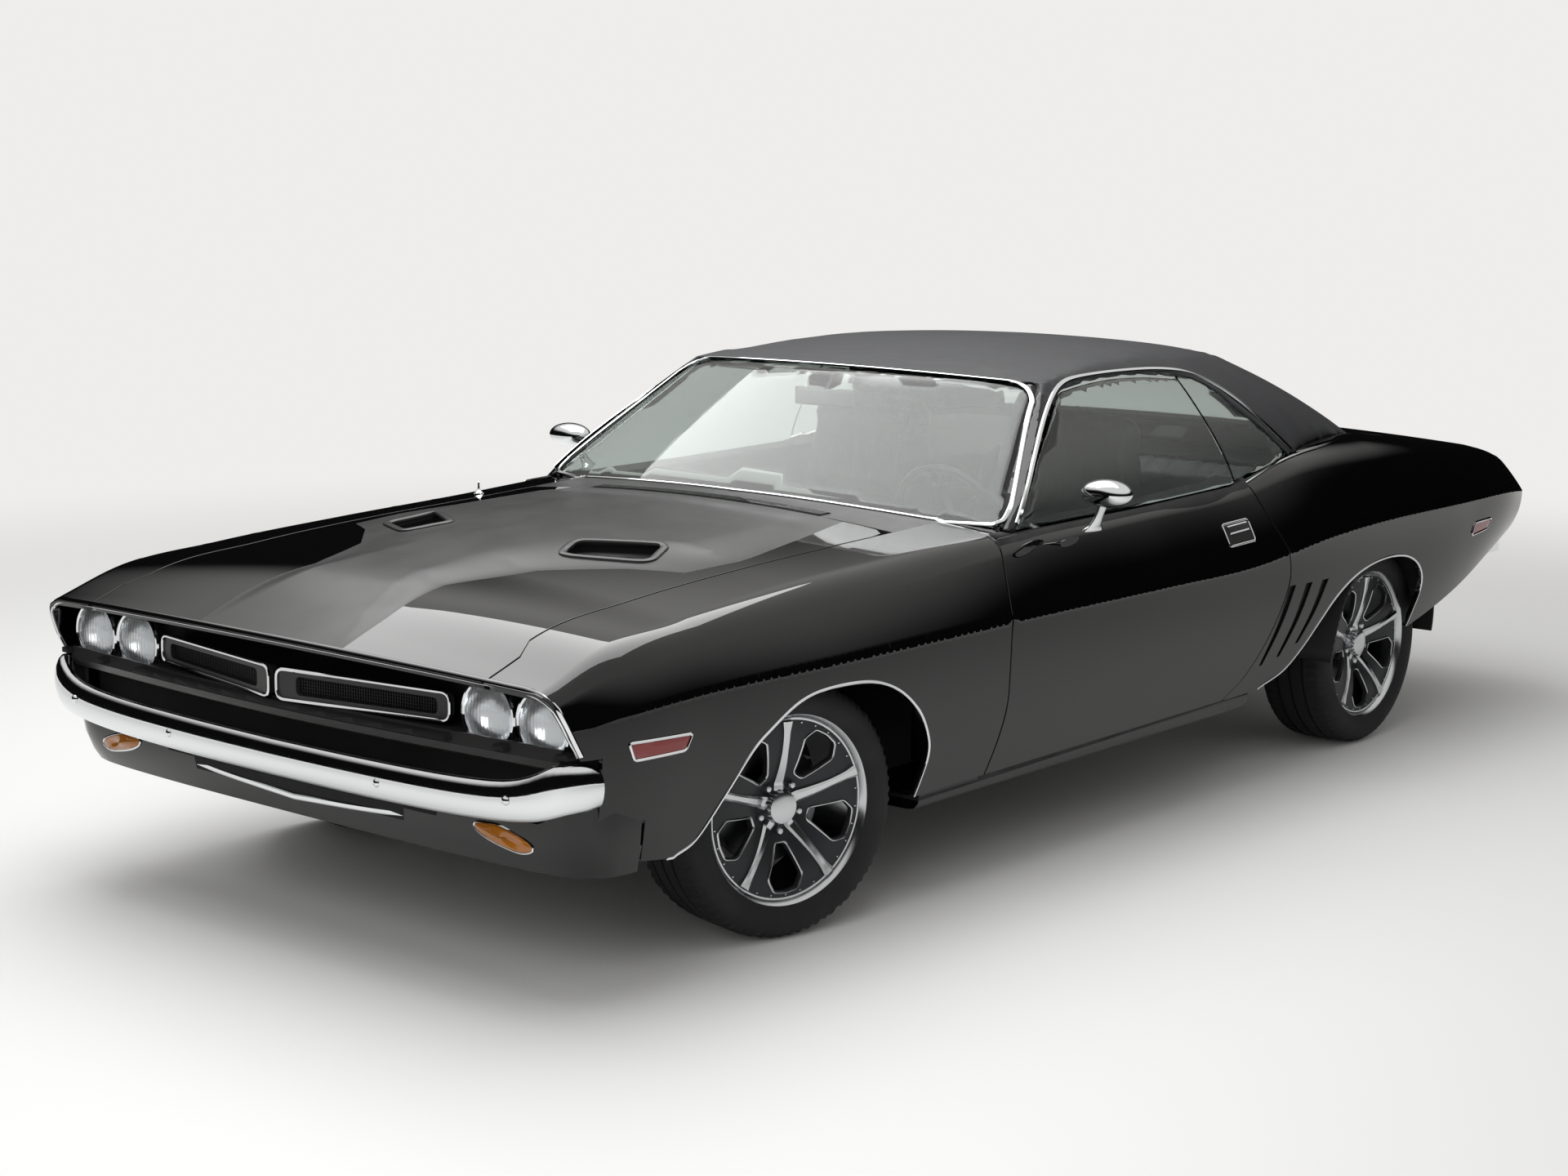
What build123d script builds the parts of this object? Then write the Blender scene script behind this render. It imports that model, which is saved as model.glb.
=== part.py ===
from build123d import *
import math
import os

# Two-door hardtop coupe with a long hood, a short deck and a vinyl-covered roof.
# Millimetres. In this script x runs to the car's left, y rearward from the front axle, z up from
# the ground. The export moves the origin to the ground under the middle of the car's length.

# Driving sizes of the whole car
WHEELBASE = 2794.0
HALF_WIDTH = 965.0
FRONT_REACH = 925.0
REAR_REACH = 1141.0
BELT_Z = 880.0
CREASE_Z = 690.0
SILL_Z = 290.0
ROOF_Z = 1297.0

# Sheet and panel thicknesses, shut lines and running clearances
SKIN = 16.0
DOOR_THICK = 110.0
LID_THICK = 20.0
ROOF_THICK = 26.0
GLASS_THICK = 6.0
FLOOR_THICK = 12.0
SHUT_GAP = 7.0
FIT_GAP = 0.3

# Wheels, tyres and steering
TYRE_R = 317.0
TYRE_WIDTH = 235.0
TYRE_TREAD = 196.0
TYRE_BULGE_R = 268.0
BEAD_R = 229.3
BEAD_HALF = 92.0
LIP_R = 243.0
LIP_THICK = 5.0
BARREL_THICK = 9.0
FRONT_WHEEL_X = 745.0
REAR_WHEEL_X = 768.0
KINGPIN_X = 690.0
STEER_PARKED = -13.05
SPOKES = 5
SPOKE_THICK = 20.0
SPOKE_FACE = 62.0
HUB_R = 72.0
HUB_FACE = 48.0
HUB_BACK = -12.0
SPINDLE_R = 30.0
DISC_R = 150.0
DISC_THICK = 24.0
LUG_CIRCLE_R = 57.0
LUG_R = 11.0
LUG_LENGTH = 16.0
CAP_R = 33.0
ARCH_CLEAR = 30.0

# Openings of the body in plan
HOOD_HALF_REAR = 648.0
HOOD_HALF_NOSE = 700.0
HOOD_REAR_Y = 588.0
HOOD_TAPER_Y = -700.0
LID_HALF = 690.0
LID_FRONT_Y = 3128.0
PILLAR_BACK_Y = 867.0
PILLAR_OUT_X = 855.0
DOOR_INNER_X = 748.0

# Engine, rails and bulkhead
ENGINE_LOW = 290.3
RAIL_IN = 350.0
WALL_Y = 640.0

# Floor
FLOOR_Z = 262.0
FLOOR_Y = 668.0
FLOOR_HALF = 689.7
REAR_WELL_IN = 612.0
WINDOW_FOOT = 16.0

# Sills
ROCKER_IN = 690.0
ROCKER_OUT = 908.0
ROCKER_STEP = 640.0

# Cabin and underbody fittings
DASH_HALF = 737.7
SEAT_HALF = 235.0
SEAT_X = 388.0
STEERING_HUB = (380.0, 1235.0, 820.0)
STEERING_R = 182.0
STEERING_RIM_R = 12.0
STEERING_TILT = 24.0
COLUMN_R = 26.0
COLUMN_LENGTH = 262.0
MIRROR_AT = (985.0, 1090.0, 980.0)
MIRROR_W = 150.0
MIRROR_H = 76.0
MIRROR_AHEAD = 36.0
MIRROR_BEHIND = 16.0
MIRROR_BEVEL = 24.0
EXHAUST_X = 235.0
EXHAUST_Z = 172.0
PIPE_R = 28.0

# Raised centre of the hood and its scoops
BULGE_HALF_NOSE = 150.0
BULGE_HALF_REAR = 400.0
BULGE_RISE = 16.0
SCOOP_X = 330.0
SCOOP_Y = -105.0
SCOOP_LENGTH = 250.0
SCOOP_WIDTH = 62.0
SCOOP_TURN = -38.0
SCOOP_DEPTH = 22.0

# Air slots sunk into the cowl and ahead of the rear wheels
LOUVRE_HALF = 404.0
LOUVRE_Y = (603.0, 647.0)
GILL_WIDTH = 18.0
SUNK_DEPTH = 6.0

# Nose and tail pieces
NOSE_TOP = 730.0
CAVITY_FLOOR = 590.0
BUMPER_HALF = 934.0
BUMPER_LOW = 440.0
BUMPER_TOP = 528.0
BUMPER_WRAP_TOP = 582.0
BUMPER_DEPTH = 26.0
VALANCE_LOW = 308.0
VALANCE_TOP = 428.0
LAMP_R = 76.0
BEZEL_R = 85.0
LAMP_Z = 645.0
LAMP_FACE_Y = -812.0
LAMP_DEPTH = 66.0
LENS_RISE = 16.0
LAMPS_X = (627.0, 798.0)
GRILLE_HALF = 545.0
GRILLE_LOW = 602.3
GRILLE_TOP = 728.0
GRILLE_SWEEP = 9.0
GRILLE_FINS = 9
TAIL_LAMP_HALF = 690.0
TAIL_LAMP_H = 104.0
TAIL_LAMP_Z = 716.0

# Body sections: y, then sill x inward, sill z above SILL_Z, crease x inward, crease z above CREASE_Z,
# shoulder x inward, shoulder z above BELT_Z, crown rise above the shoulder.
STATIONS = [
    (-960, 115, 130, 75, -48, 92, -170, 28),
    (-850, 85, 95, 50, -40, 76, -136, 40),
    (-700, 50, 55, 22, -18, 79, -85, 42),
    (-400, 35, 20, 10, -2, 84, -54, 50),
    (0, 30, 0, 4, 0, 101, -29, 54),
    (400, 33, -5, 4, 0, 104, -14, 54),
    (850, 35, -8, 4, 0, 97, 4, 50),
    (1450, 35, 0, 4, -1, 107, 8, 50),
    (1950, 35, 10, 3, 2, 113, 20, 45),
    (2326, 30, 20, 0, 40, 115, 78, 22),
    (2800, 32, 50, 3, 58, 120, 86, 14),
    (3300, 45, 150, 10, 52, 127, 33, 28),
    (3650, 85, 240, 30, 40, 150, -12, 28),
    (3990, 145, 310, 115, 0, 185, -90, 20),
]
LOWER_BULGE = 9.0
UPPER_BULGE = 5.0
SILL_DROP = 160.0

# Greenhouse in plan at heights above the belt line: height, windshield centre y, pillar x, pillar y,
# side x, side y, backlight corner x, corner y, backlight centre y.
GREENHOUSE = [
    (0, 640, 850, 815, 856, 2200, 742, 3085, 3160),
    (130, 818, 806, 972, 816, 2240, 655, 2928, 2985),
    (240, 968, 735, 1112, 746, 2200, 572, 2762, 2815),
    (355, 1126, 652, 1262, 650, 2000, 498, 2490, 2535),
    (440, 1243, 560, 1372, 560, 1850, 440, 2290, 2330),
]
ROOF_ALONG_R = 4800.0
ROOF_ACROSS_R = 8000.0
ROOF_PEAK_Y = 1900.0
SAIL_BULGE = 22.0


def biggest(part):
    """The largest solid of a part, without crumbs that a curved cut leaves."""
    return max(part.solids(), key=lambda solid: solid.volume)


def line_face(start, *moves):
    """Closed face of lines, given as (x, y), and arcs, given as (mid x, mid y, end x, end y)."""
    edges, here = [], start
    for move in moves:
        there = tuple(move[-2:])
        if len(move) == 4:
            edges.append(ThreePointArc(here, tuple(move[:2]), there))
        else:
            edges.append(Line(here, there))
        here = there
    if here != start:
        edges.append(Line(here, start))
    return make_face(edges)


def side_slab(face, x0, x1):
    """Side outline in (y, z), extruded from x0 to x1."""
    return extrude(Pos(x0, 0, 0) * (Plane.YZ * face), amount=x1 - x0, dir=(1, 0, 0))


def front_slab(face, y0, y1):
    """Front outline in (x, z), extruded from y0 to y1."""
    return extrude(Pos(0, y0, 0) * (Plane.XZ * face), amount=y1 - y0, dir=(0, 1, 0))


def plan_slab(face, z0, z1):
    """Plan outline in (x, y), extruded from z0 to z1."""
    return extrude(Pos(0, 0, z0) * face, amount=z1 - z0, dir=(0, 0, 1))


def block(x0, x1, y0, y1, z0, z1):
    """Box between two corners."""
    return Pos((x0 + x1) / 2, (y0 + y1) / 2, (z0 + z1) / 2) * Box(x1 - x0, y1 - y0, z1 - z0)


def both_sides(part):
    """The part and its mirror image across the car's middle."""
    return Compound(children=[*part.solids(), *mirror(part, about=Plane.YZ).solids()])


def rod(start, end, radius):
    """Round bar between two points."""
    return Solid.extrude(Plane(start, z_dir=Vector(*end) - Vector(*start)) * Circle(radius).face(),
                         Vector(*end) - Vector(*start))


def body_section(row, inset):
    """Closed cross-section of the body at one station, drawn inset inside the outer skin."""
    y, sill_in, sill_up, crease_in, crease_up, shoulder_in, shoulder_up, crown = row
    drop = SILL_DROP if inset else 0
    sill = (HALF_WIDTH - sill_in - inset, SILL_Z + sill_up - drop)
    crease = (HALF_WIDTH - crease_in - inset, CREASE_Z + crease_up)
    shoulder = (HALF_WIDTH - shoulder_in - inset, BELT_Z + shoulder_up - inset)
    top = (0.0, shoulder[1] + crown)
    low = ((sill[0] + crease[0]) / 2 + LOWER_BULGE, (sill[1] + crease[1]) / 2)
    high = ((crease[0] + shoulder[0]) / 2 + UPPER_BULGE, (crease[1] + shoulder[1]) / 2)
    flip = lambda p: (-p[0], p[1])
    face = line_face(flip(sill), sill, (*low, *crease), (*high, *shoulder),
                     (*top, *flip(shoulder)), (*flip(high), *flip(crease)), (*flip(low), *flip(sill)))
    return Pos(0, y, 0) * (Plane.XZ * face)


def body_form(inset, first=0, last=len(STATIONS)):
    """The lower body as one solid, inset inside the outer skin."""
    return loft([body_section(row, inset) for row in STATIONS[first:last]], ruled=True)


def greenhouse_section(row, inset):
    """Plan outline of the cabin's upper half at one height."""
    up, nose_y, pillar_x, pillar_y, side_x, side_y, corner_x, corner_y, tail_y = row
    nose, pillar = (0, nose_y + inset), (pillar_x - inset, pillar_y + inset / 2)
    side, corner = (side_x - inset, side_y), (corner_x - inset, corner_y - inset)
    tail = (0, tail_y - inset)
    sail = ((side[0] + corner[0]) / 2 + SAIL_BULGE, (side[1] + corner[1]) / 2)
    flip = lambda p: (-p[0], p[1])
    face = line_face(flip(pillar), (*nose, *pillar), side, (*sail, *corner), (*tail, *flip(corner)),
                     (*flip(sail), *flip(side)))
    return Pos(0, 0, BELT_Z - 20 + up) * face


def roof_crown(drop):
    """Barrel-shaped solid whose top is the roof's crown, lowered by drop."""
    across = ROOF_ACROSS_R - drop
    peak = ROOF_Z - drop
    half = HALF_WIDTH
    sag = across - math.sqrt(across**2 - half**2)
    profile = line_face((-half, peak - 900), (half, peak - 900), (half, peak - sag),
                        (0, peak, -half, peak - sag))
    turn = Axis((0, ROOF_PEAK_Y, peak - ROOF_ALONG_R), (1, 0, 0))
    swing = 26.0
    start = (Pos(0, ROOF_PEAK_Y, 0) * (Plane.XZ * profile)).rotate(turn, -swing)
    return revolve(start, axis=turn, revolution_arc=2 * swing)


def greenhouse_form(inset):
    """The cabin's upper half as one solid."""
    return loft([greenhouse_section(row, inset) for row in GREENHOUSE]) & roof_crown(inset)


def corner_slab(half_x, nose_y, corner_y, tail_y, tail_corner_y):
    """Plan outline of the car's bowed nose and tail, as one tall slab."""
    face = line_face((-half_x, nose_y), (0, corner_y, half_x, nose_y), (half_x, tail_corner_y),
                     (0, tail_y, -half_x, tail_corner_y))
    return plan_slab(face, 0, ROOF_Z + 100)


# Side outlines in (y, z): a start point, then lines and arcs
DOOR_FRONT = [(775, BELT_Z + 6), (727, 770, 703, 640), (700, 470, 633, 298)]
DOOR_REAR = [(2032, BELT_Z + 36), (2062, 800, 2108, 680), (2088, 560, 1962, 400), (1890, 345, 1800, 302)]
FRONT_ARCH = [(-600, 200), (-345, 488), (-205, 590, 0, 632), (245, 590, 352, 478), (374, 400, 262, 200)]
REAR_ARCH = [(1900, 200), (1990, 302), (2120, 330, 2225, 394), (2340, 486, 2500, 575),
             (2650, 616, 2810, 611), (2950, 585, 2992, 500), (2980, 455, 2925, 424), (2700, 200)]
TAIL_SLOPE = [(3770, BELT_Z + 120), (3796, BELT_Z - 10), (3862, 640), (3862, 300)]
SIDE_WINDOW = [(868, BELT_Z - 60), (868, BELT_Z + 18), (1075, BELT_Z + 172), (1296, BELT_Z + 308),
               (1330, BELT_Z + 326, 1375, BELT_Z + 334), (1620, BELT_Z + 348, 1930, BELT_Z + 330),
               (2060, BELT_Z + 306, 2140, BELT_Z + 238), (2330, BELT_Z + 86), (2360, BELT_Z - 60)]
GLASS_SPLIT = [(1938, BELT_Z + 400), (1990, BELT_Z - 80)]

# Gills ahead of the rear wheel: top y, top z, foot y, foot z
GILLS = [(2135, 600, 1996, 375), (2233, 597, 2092, 388), (2332, 595, 2192, 415)]

# Front and rear window outlines in (x, z), and the stretch of y that each is cut through
WINDSHIELD_REACH = (400, 1285)
BACKLIGHT_REACH = (2360, 3400)
WINDSHIELD = [(-833, BELT_Z - 20), (833, BELT_Z - 20), (640, 1205), (625, 1226, 590, 1232),
              (0, 1246, -590, 1232), (-625, 1226, -640, 1205)]
BACKLIGHT = [(-742, BELT_Z - 20), (742, BELT_Z - 20), (560, 1128), (500, 1215), (470, 1232, 430, 1236),
             (0, 1246, -430, 1236), (-470, 1232, -500, 1215), (-560, 1128)]


def moved(path, dy):
    """A side outline moved along the car."""
    return [(p[0] + dy, p[1], *([p[2] + dy, p[3]] if len(p) == 4 else [])) for p in path]


def backwards(path):
    """The same outline walked from its other end."""
    ends = [path[0]] + [move[-2:] for move in path[1:]]
    turned = [tuple(ends[-1])]
    for k in range(len(path) - 1, 0, -1):
        turned.append((*path[k][:2], *ends[k - 1]) if len(path[k]) == 4 else tuple(ends[k - 1]))
    return turned


OUTER = body_form(0) & corner_slab(1200, -850, -FRONT_REACH, WHEELBASE + REAR_REACH - 60, 3740)
SKIN_CORE = body_form(SKIN)
DOOR_CORE = body_form(DOOR_THICK, 4, 11)
LID_CORE = body_form(LID_THICK)
TAIL_CUT = side_slab(line_face(*TAIL_SLOPE, (4300, 300), (4300, BELT_Z + 120)), -1200, 1200)
CABIN = greenhouse_form(0)
CABIN_CORE = greenhouse_form(ROOF_THICK)
GLASS = greenhouse_form(4) - greenhouse_form(4 + GLASS_THICK)
BODY_SHEET = OUTER - SKIN_CORE - TAIL_CUT - CABIN_CORE


def belt_line(rise):
    """Top line of the doors in (y, z), raised by rise."""
    return [(row[0], BELT_Z + row[6] + rise) for row in STATIONS[6:9]]


def hood_plan(grow):
    """Hood outline in plan, grown by the shut gap for the hole it lies in."""
    nose, rear, back = HOOD_HALF_NOSE + grow, HOOD_HALF_REAR + grow, HOOD_REAR_Y + grow
    half = [(nose, -1200), (nose, HOOD_TAPER_Y - 150), (rear, HOOD_TAPER_Y + 100),
            (rear, back - 90), (rear - 70, back)]
    return line_face(half[0], *half[1:], *[(-x, y) for x, y in reversed(half)])


def lid_plan(grow):
    """Boot lid outline in plan, grown by the shut gap."""
    half, front = LID_HALF + grow, LID_FRONT_Y - grow
    return line_face((-half, 4300), (-half, front + 60), (-half + 60, front), (half - 60, front),
                     (half, front + 60), (half, 4300))


def hood_bulge():
    """Raised centre of the hood, widening to the rear."""
    nose, rear = BULGE_HALF_NOSE, BULGE_HALF_REAR
    half = [(nose, -560), (nose + 95, -330), (rear + 60, -60), (rear + 60, 140), (rear, HOOD_REAR_Y - 45)]
    plan = line_face(half[0], *half[1:], *[(-x, y) for x, y in reversed(half)])
    raised = Pos(0, 0, BULGE_RISE) * OUTER - Pos(0, 0, -LID_THICK / 2) * OUTER
    return raised & plan_slab(plan, NOSE_TOP, ROOF_Z)


def hood():
    """Hood of its whole thickness, with the raised centre and two slanted slots sunk into it."""
    sheet = (OUTER - LID_CORE) & plan_slab(hood_plan(0), NOSE_TOP - 20, ROOF_Z)
    slot = Pos(SCOOP_X, SCOOP_Y, 0) * Rot(0, 0, SCOOP_TURN) * SlotOverall(SCOOP_LENGTH, SCOOP_WIDTH)
    sunk = plan_slab(slot, 700, 1100) - Pos(0, 0, BULGE_RISE - SCOOP_DEPTH) * OUTER
    return sheet + hood_bulge() - sunk - mirror(sunk, about=Plane.YZ)


def deck_lid():
    """Boot lid of its whole thickness."""
    return ((OUTER - LID_CORE) & plan_slab(lid_plan(0), 0, ROOF_Z)) - TAIL_CUT


def fender():
    """Left front fender with its wheel arch, cut back for the bumper and the valance."""
    rear = moved(DOOR_FRONT, -SHUT_GAP)
    side = line_face((-1200, BELT_Z + 6), rear[0], *rear[1:], (626, 200), (-1200, 200))
    sheet = BODY_SHEET & side_slab(side, 500, 1200)
    sheet -= side_slab(line_face(FRONT_ARCH[0], *FRONT_ARCH[1:]), 500, 1200)
    sheet -= plan_slab(hood_plan(SHUT_GAP), NOSE_TOP - 40, ROOF_Z)
    sheet -= block(0, HOOD_HALF_REAR + SHUT_GAP, 300, 1000, NOSE_TOP, ROOF_Z)
    sheet -= block(500, 1200, -1200, -766, 200, CAVITY_FLOOR - 4)
    return sheet - block(500, 1200, -1200, -640, 200, VALANCE_TOP + FIT_GAP)


def door():
    """Left door of its whole thickness, stepped round the hinge pillar."""
    rear = backwards(DOOR_REAR)
    side = line_face(DOOR_FRONT[0], *DOOR_FRONT[1:], rear[0], *rear[1:], *reversed(belt_line(2)))
    panel = (OUTER - DOOR_CORE) & side_slab(side, DOOR_INNER_X, 1200)
    panel -= block(0, PILLAR_OUT_X + SHUT_GAP, 0, PILLAR_BACK_Y + SHUT_GAP, 0, ROOF_Z)
    for z in (455, 705):
        panel += block(PILLAR_OUT_X + FIT_GAP, PILLAR_OUT_X + SHUT_GAP + 6, 735, 795, z, z + 46)
    return panel


def quarter():
    """Left rear quarter panel with its wheel arch."""
    front = moved(DOOR_REAR, SHUT_GAP)
    side = line_face(front[0], *front[1:], (1700, 296), (1700, 200), (4300, 200), (4300, BELT_Z + 150),
                     (2039, BELT_Z + 150))
    sheet = BODY_SHEET & side_slab(side, LID_HALF + SHUT_GAP, 1200)
    sheet -= side_slab(line_face(REAR_ARCH[0], *REAR_ARCH[1:]), 500, 1200)
    half = GILL_WIDTH / 2
    for top_y, top_z, foot_y, foot_z in GILLS:
        slot = line_face((top_y - half, top_z), (top_y + half, top_z), (foot_y + half, foot_z),
                         (foot_y - half, foot_z))
        sheet -= side_slab(slot, 800, 1200) - Pos(-SUNK_DEPTH, 0, 0) * OUTER
    return sheet


def rocker():
    """Left sill: the strip below fender and door, and the box that the door closes against."""
    strip = line_face((385, SILL_Z - 20), (1990, SILL_Z - 2), (1990, SILL_Z + 4), (ROCKER_STEP, SILL_Z + 4),
                      (ROCKER_STEP, SILL_Z - 10), (385, SILL_Z - 10))
    box = block(ROCKER_IN, DOOR_INNER_X - 10, ROCKER_STEP + 10, 1985, SILL_Z, SILL_Z + 140)
    return side_slab(strip, ROCKER_IN, ROCKER_OUT) + box


def roof():
    """Roof with its windshield and sail pillars, all windows cut."""
    shell = CABIN - CABIN_CORE - OUTER
    window = line_face(*SIDE_WINDOW)
    shell -= side_slab(window, 400, 1200)
    shell -= side_slab(window, -1200, -400)
    shell -= front_slab(line_face(*WINDSHIELD), *WINDSHIELD_REACH)
    shell -= front_slab(line_face(*BACKLIGHT), *BACKLIGHT_REACH)
    return biggest(shell)


def windshield():
    """Curved front glass, seated in its opening."""
    hole = offset(line_face(*WINDSHIELD), amount=-FIT_GAP)
    return biggest((GLASS - OUTER) & front_slab(hole, *WINDSHIELD_REACH))


def backlight():
    """Curved rear glass."""
    hole = offset(line_face(*BACKLIGHT), amount=-FIT_GAP)
    return biggest((GLASS - OUTER) & front_slab(hole, *BACKLIGHT_REACH))


def side_glass():
    """Left door glass and left quarter glass, either side of the slanted split."""
    top, low = GLASS_SPLIT
    half = SHUT_GAP / 2
    ahead = line_face((0, 2000), (0, 0), (low[0] - half, low[1]), (top[0] - half, top[1]), (top[0] - half, 2000))
    behind = line_face((4000, 2000), (4000, 0), (low[0] + half, low[1]), (top[0] + half, top[1]),
                       (top[0] + half, 2000))
    sill = line_face((0, 2000), *[(0, belt_line(2 + FIT_GAP)[0][1])], *belt_line(2 + FIT_GAP),
                     (DOOR_REAR[0][0], DOOR_REAR[0][1] + FIT_GAP), (4000, 1200), (4000, 2000))
    opening = line_face(*SIDE_WINDOW)
    moving = side_slab(offset(opening, amount=-SHUT_GAP) & ahead & sill, 400, 1200) & GLASS
    fixed = side_slab(offset(opening, amount=-FIT_GAP) & behind, 400, 1200) & GLASS
    over_door = side_slab(line_face((0, 0), (0, 900), *belt_line(2 + SHUT_GAP),
                                    (DOOR_REAR[0][0] + SHUT_GAP, DOOR_REAR[0][1] + SHUT_GAP),
                                    (DOOR_REAR[0][0] + SHUT_GAP, 0)), 400, 1200)
    return moving, fixed - OUTER - over_door


def cowl():
    """Panel between the hood and the windshield, with the sunk band of its louvres."""
    panel = BODY_SHEET & plan_slab(line_face((-1000, 300), (1000, 300), (1000, PILLAR_BACK_Y),
                                             (-1000, PILLAR_BACK_Y)), NOSE_TOP, ROOF_Z)
    panel -= plan_slab(hood_plan(SHUT_GAP), NOSE_TOP, ROOF_Z)
    panel -= block(-LOUVRE_HALF, LOUVRE_HALF, *LOUVRE_Y, NOSE_TOP, ROOF_Z) - Pos(0, 0, -SUNK_DEPTH) * OUTER
    return panel & block(-HOOD_HALF_REAR - SHUT_GAP + FIT_GAP, HOOD_HALF_REAR + SHUT_GAP - FIT_GAP,
                         300, 900, NOSE_TOP, ROOF_Z)


def deck_filler():
    """Panel between the backlight and the boot lid, down to the parcel shelf's edge."""
    half = LID_HALF + SHUT_GAP - FIT_GAP
    panel = BODY_SHEET & block(-half, half, 2850, LID_FRONT_Y + 200, 700, ROOF_Z)
    panel = biggest(panel - plan_slab(lid_plan(SHUT_GAP), 0, ROOF_Z))
    under = Pos(0, 0, -10) * LID_CORE
    tongue = (block(450, 500, 3050, 3190, 700, 1200) & Pos(0, 0, -FIT_GAP) * LID_CORE) - under
    root = (block(450, 500, 3050, 3108, 700, 1200) & Pos(0, 0, -8) * OUTER) - under
    hinge = tongue + root
    return panel + hinge + mirror(hinge, about=Plane.YZ)


def tail_panel():
    """Upright panel between the quarters, with the long lamp recess."""
    band = side_slab(line_face(*[(y, z) for y, z in TAIL_SLOPE], (TAIL_SLOPE[3][0] - 40, 300),
                               (TAIL_SLOPE[2][0] - 40, 640), (TAIL_SLOPE[1][0] - 40, BELT_Z - 10),
                               (TAIL_SLOPE[0][0] - 40, BELT_Z + 120)), -1200, 1200)
    lid_room = plan_slab(lid_plan(SHUT_GAP), 0, ROOF_Z) - Pos(0, 0, -SHUT_GAP) * LID_CORE
    panel = (SKIN_CORE & OUTER) & band & block(-1200, 1200, 3000, 4300, 470, ROOF_Z)
    panel -= lid_room
    recess = front_slab(lamp_outline(6), 3000, 4300)
    return panel - recess


def lamp_outline(grow):
    """Rear lamp opening in (x, z)."""
    return Pos(0, TAIL_LAMP_Z) * RectangleRounded(2 * TAIL_LAMP_HALF + 2 * grow, TAIL_LAMP_H + 2 * grow,
                                                  20 + grow)


def tail_lamps():
    """Full-width rear lamp lens with its frame, seated in the recess."""
    y0 = TAIL_SLOPE[2][0] - 95
    lens = front_slab(lamp_outline(6 - FIT_GAP), y0, 4300) - TAIL_CUT
    hollow = front_slab(lamp_outline(-8), y0 + 45, 4300)
    split = block(-110, 110, y0, 4300, 600, 900)
    return (lens - hollow) + (front_slab(lamp_outline(-8), y0 + 44, y0 + 56) - split) + (
        lens & split & block(-110, 110, y0, y0 + 70, 600, 900))


def plan_band(half, nose, side_end, corner, depth, z0, z1):
    """Bar that runs across the nose and wraps round both corners, bowed in plan."""
    def half_path(inset):
        return [(half - inset, side_end), (half - inset, corner),
                (half - inset - 14, corner - 38 + inset / 2, half - 70 - inset / 2, nose[0] + inset)]
    out, inner = half_path(0), half_path(depth)
    left_out = [(-x, y) for x, y in [p[-2:] for p in out]]
    left_in = [(-x, y) for x, y in [p[-2:] for p in inner]]
    mid_out = (-out[2][0], out[2][1])
    mid_in = (-inner[2][0], inner[2][1])
    face = line_face(out[0], out[1], out[2], (0, nose[1], *left_out[2]), (*mid_out, *left_out[1]),
                     left_out[0], left_in[0], left_in[1], (*mid_in, *left_in[2]),
                     (0, nose[1] + depth, *inner[2][-2:]), (inner[2][0], inner[2][1], *inner[1]), inner[0])
    return plan_slab(face, z0, z1)


def front_bumper():
    """Slim bumper whose ends turn up and wrap round the fenders."""
    band = plan_band(BUMPER_HALF, (-875, -918), -770, -825, BUMPER_DEPTH, BUMPER_LOW, BUMPER_WRAP_TOP)
    end = BUMPER_HALF + 10
    half = [(end, BUMPER_LOW + 25), (end, BUMPER_WRAP_TOP), (end - 90, BUMPER_WRAP_TOP),
            (end - 170, BUMPER_TOP + 8), (end - 260, BUMPER_TOP)]
    low = [(end - 120, BUMPER_LOW)]
    face = line_face(low[0], *half, *[(-x, z) for x, z in reversed(half)], (-low[0][0], low[0][1]))
    bracket = block(365, 405, -895, -752 - FIT_GAP, 455, 500)
    return (band & front_slab(face, -1100, 0)) + bracket + mirror(bracket, about=Plane.YZ)


def rear_bumper():
    """Slim rear bumper, the front bumper's shape turned round."""
    band = plan_band(BUMPER_HALF - 50, (-875, -918), -640, -800, BUMPER_DEPTH, 494, 570)
    turned = Pos(0, WHEELBASE + REAR_REACH - 918, 0) * mirror(band, about=Plane.XZ)
    boot_under = FLOOR_Z + 262 - FLOOR_THICK - FIT_GAP
    bracket = block(380, 440, 3660, 3912, boot_under - 14, boot_under)
    return turned + bracket + mirror(bracket, about=Plane.YZ)


def valance():
    """Black lower panel under the bumper, with its wide air opening."""
    band = plan_band(HALF_WIDTH - 36, (-812, -846), -644, -745, 14, VALANCE_LOW, VALANCE_TOP)
    hole = front_slab(line_face((-470, 338), (470, 338), (520, 385), (500, 402), (-500, 402), (-520, 385)),
                      -1100, -600)
    for side in (-1, 1):
        hole += front_slab(parking_outline(side, 0), -1100, -600)
    return band - hole


def parking_outline(side, grow):
    """Parking lamp in (x, z)."""
    return Pos(side * 650, 368) * SlotOverall(120 + 2 * grow, 52 + 2 * grow)


def nose_panel():
    """Black panel behind the grille and lamps, with the floor of their cavity."""
    back_y = LAMP_FACE_Y + LAMP_DEPTH / 2
    back = block(-905, 905, back_y, back_y + 12, CAVITY_FLOOR + 12, 722)
    floor = plan_slab(line_face((-905, -845), (0, -905, 905, -845), (905, back_y + 12), (-905, back_y + 12)),
                      CAVITY_FLOOR, CAVITY_FLOOR + 12)
    panel = (back + floor) & SKIN_CORE & OUTER
    for side in (-1, 1):
        for x in LAMPS_X:
            panel -= rod((side * x, -900, LAMP_Z), (side * x, -700, LAMP_Z), LAMP_R - 8 + FIT_GAP)
            panel -= rod((side * x, -900, LAMP_Z), (side * x, back_y, LAMP_Z), BEZEL_R + FIT_GAP)
    return panel


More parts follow.
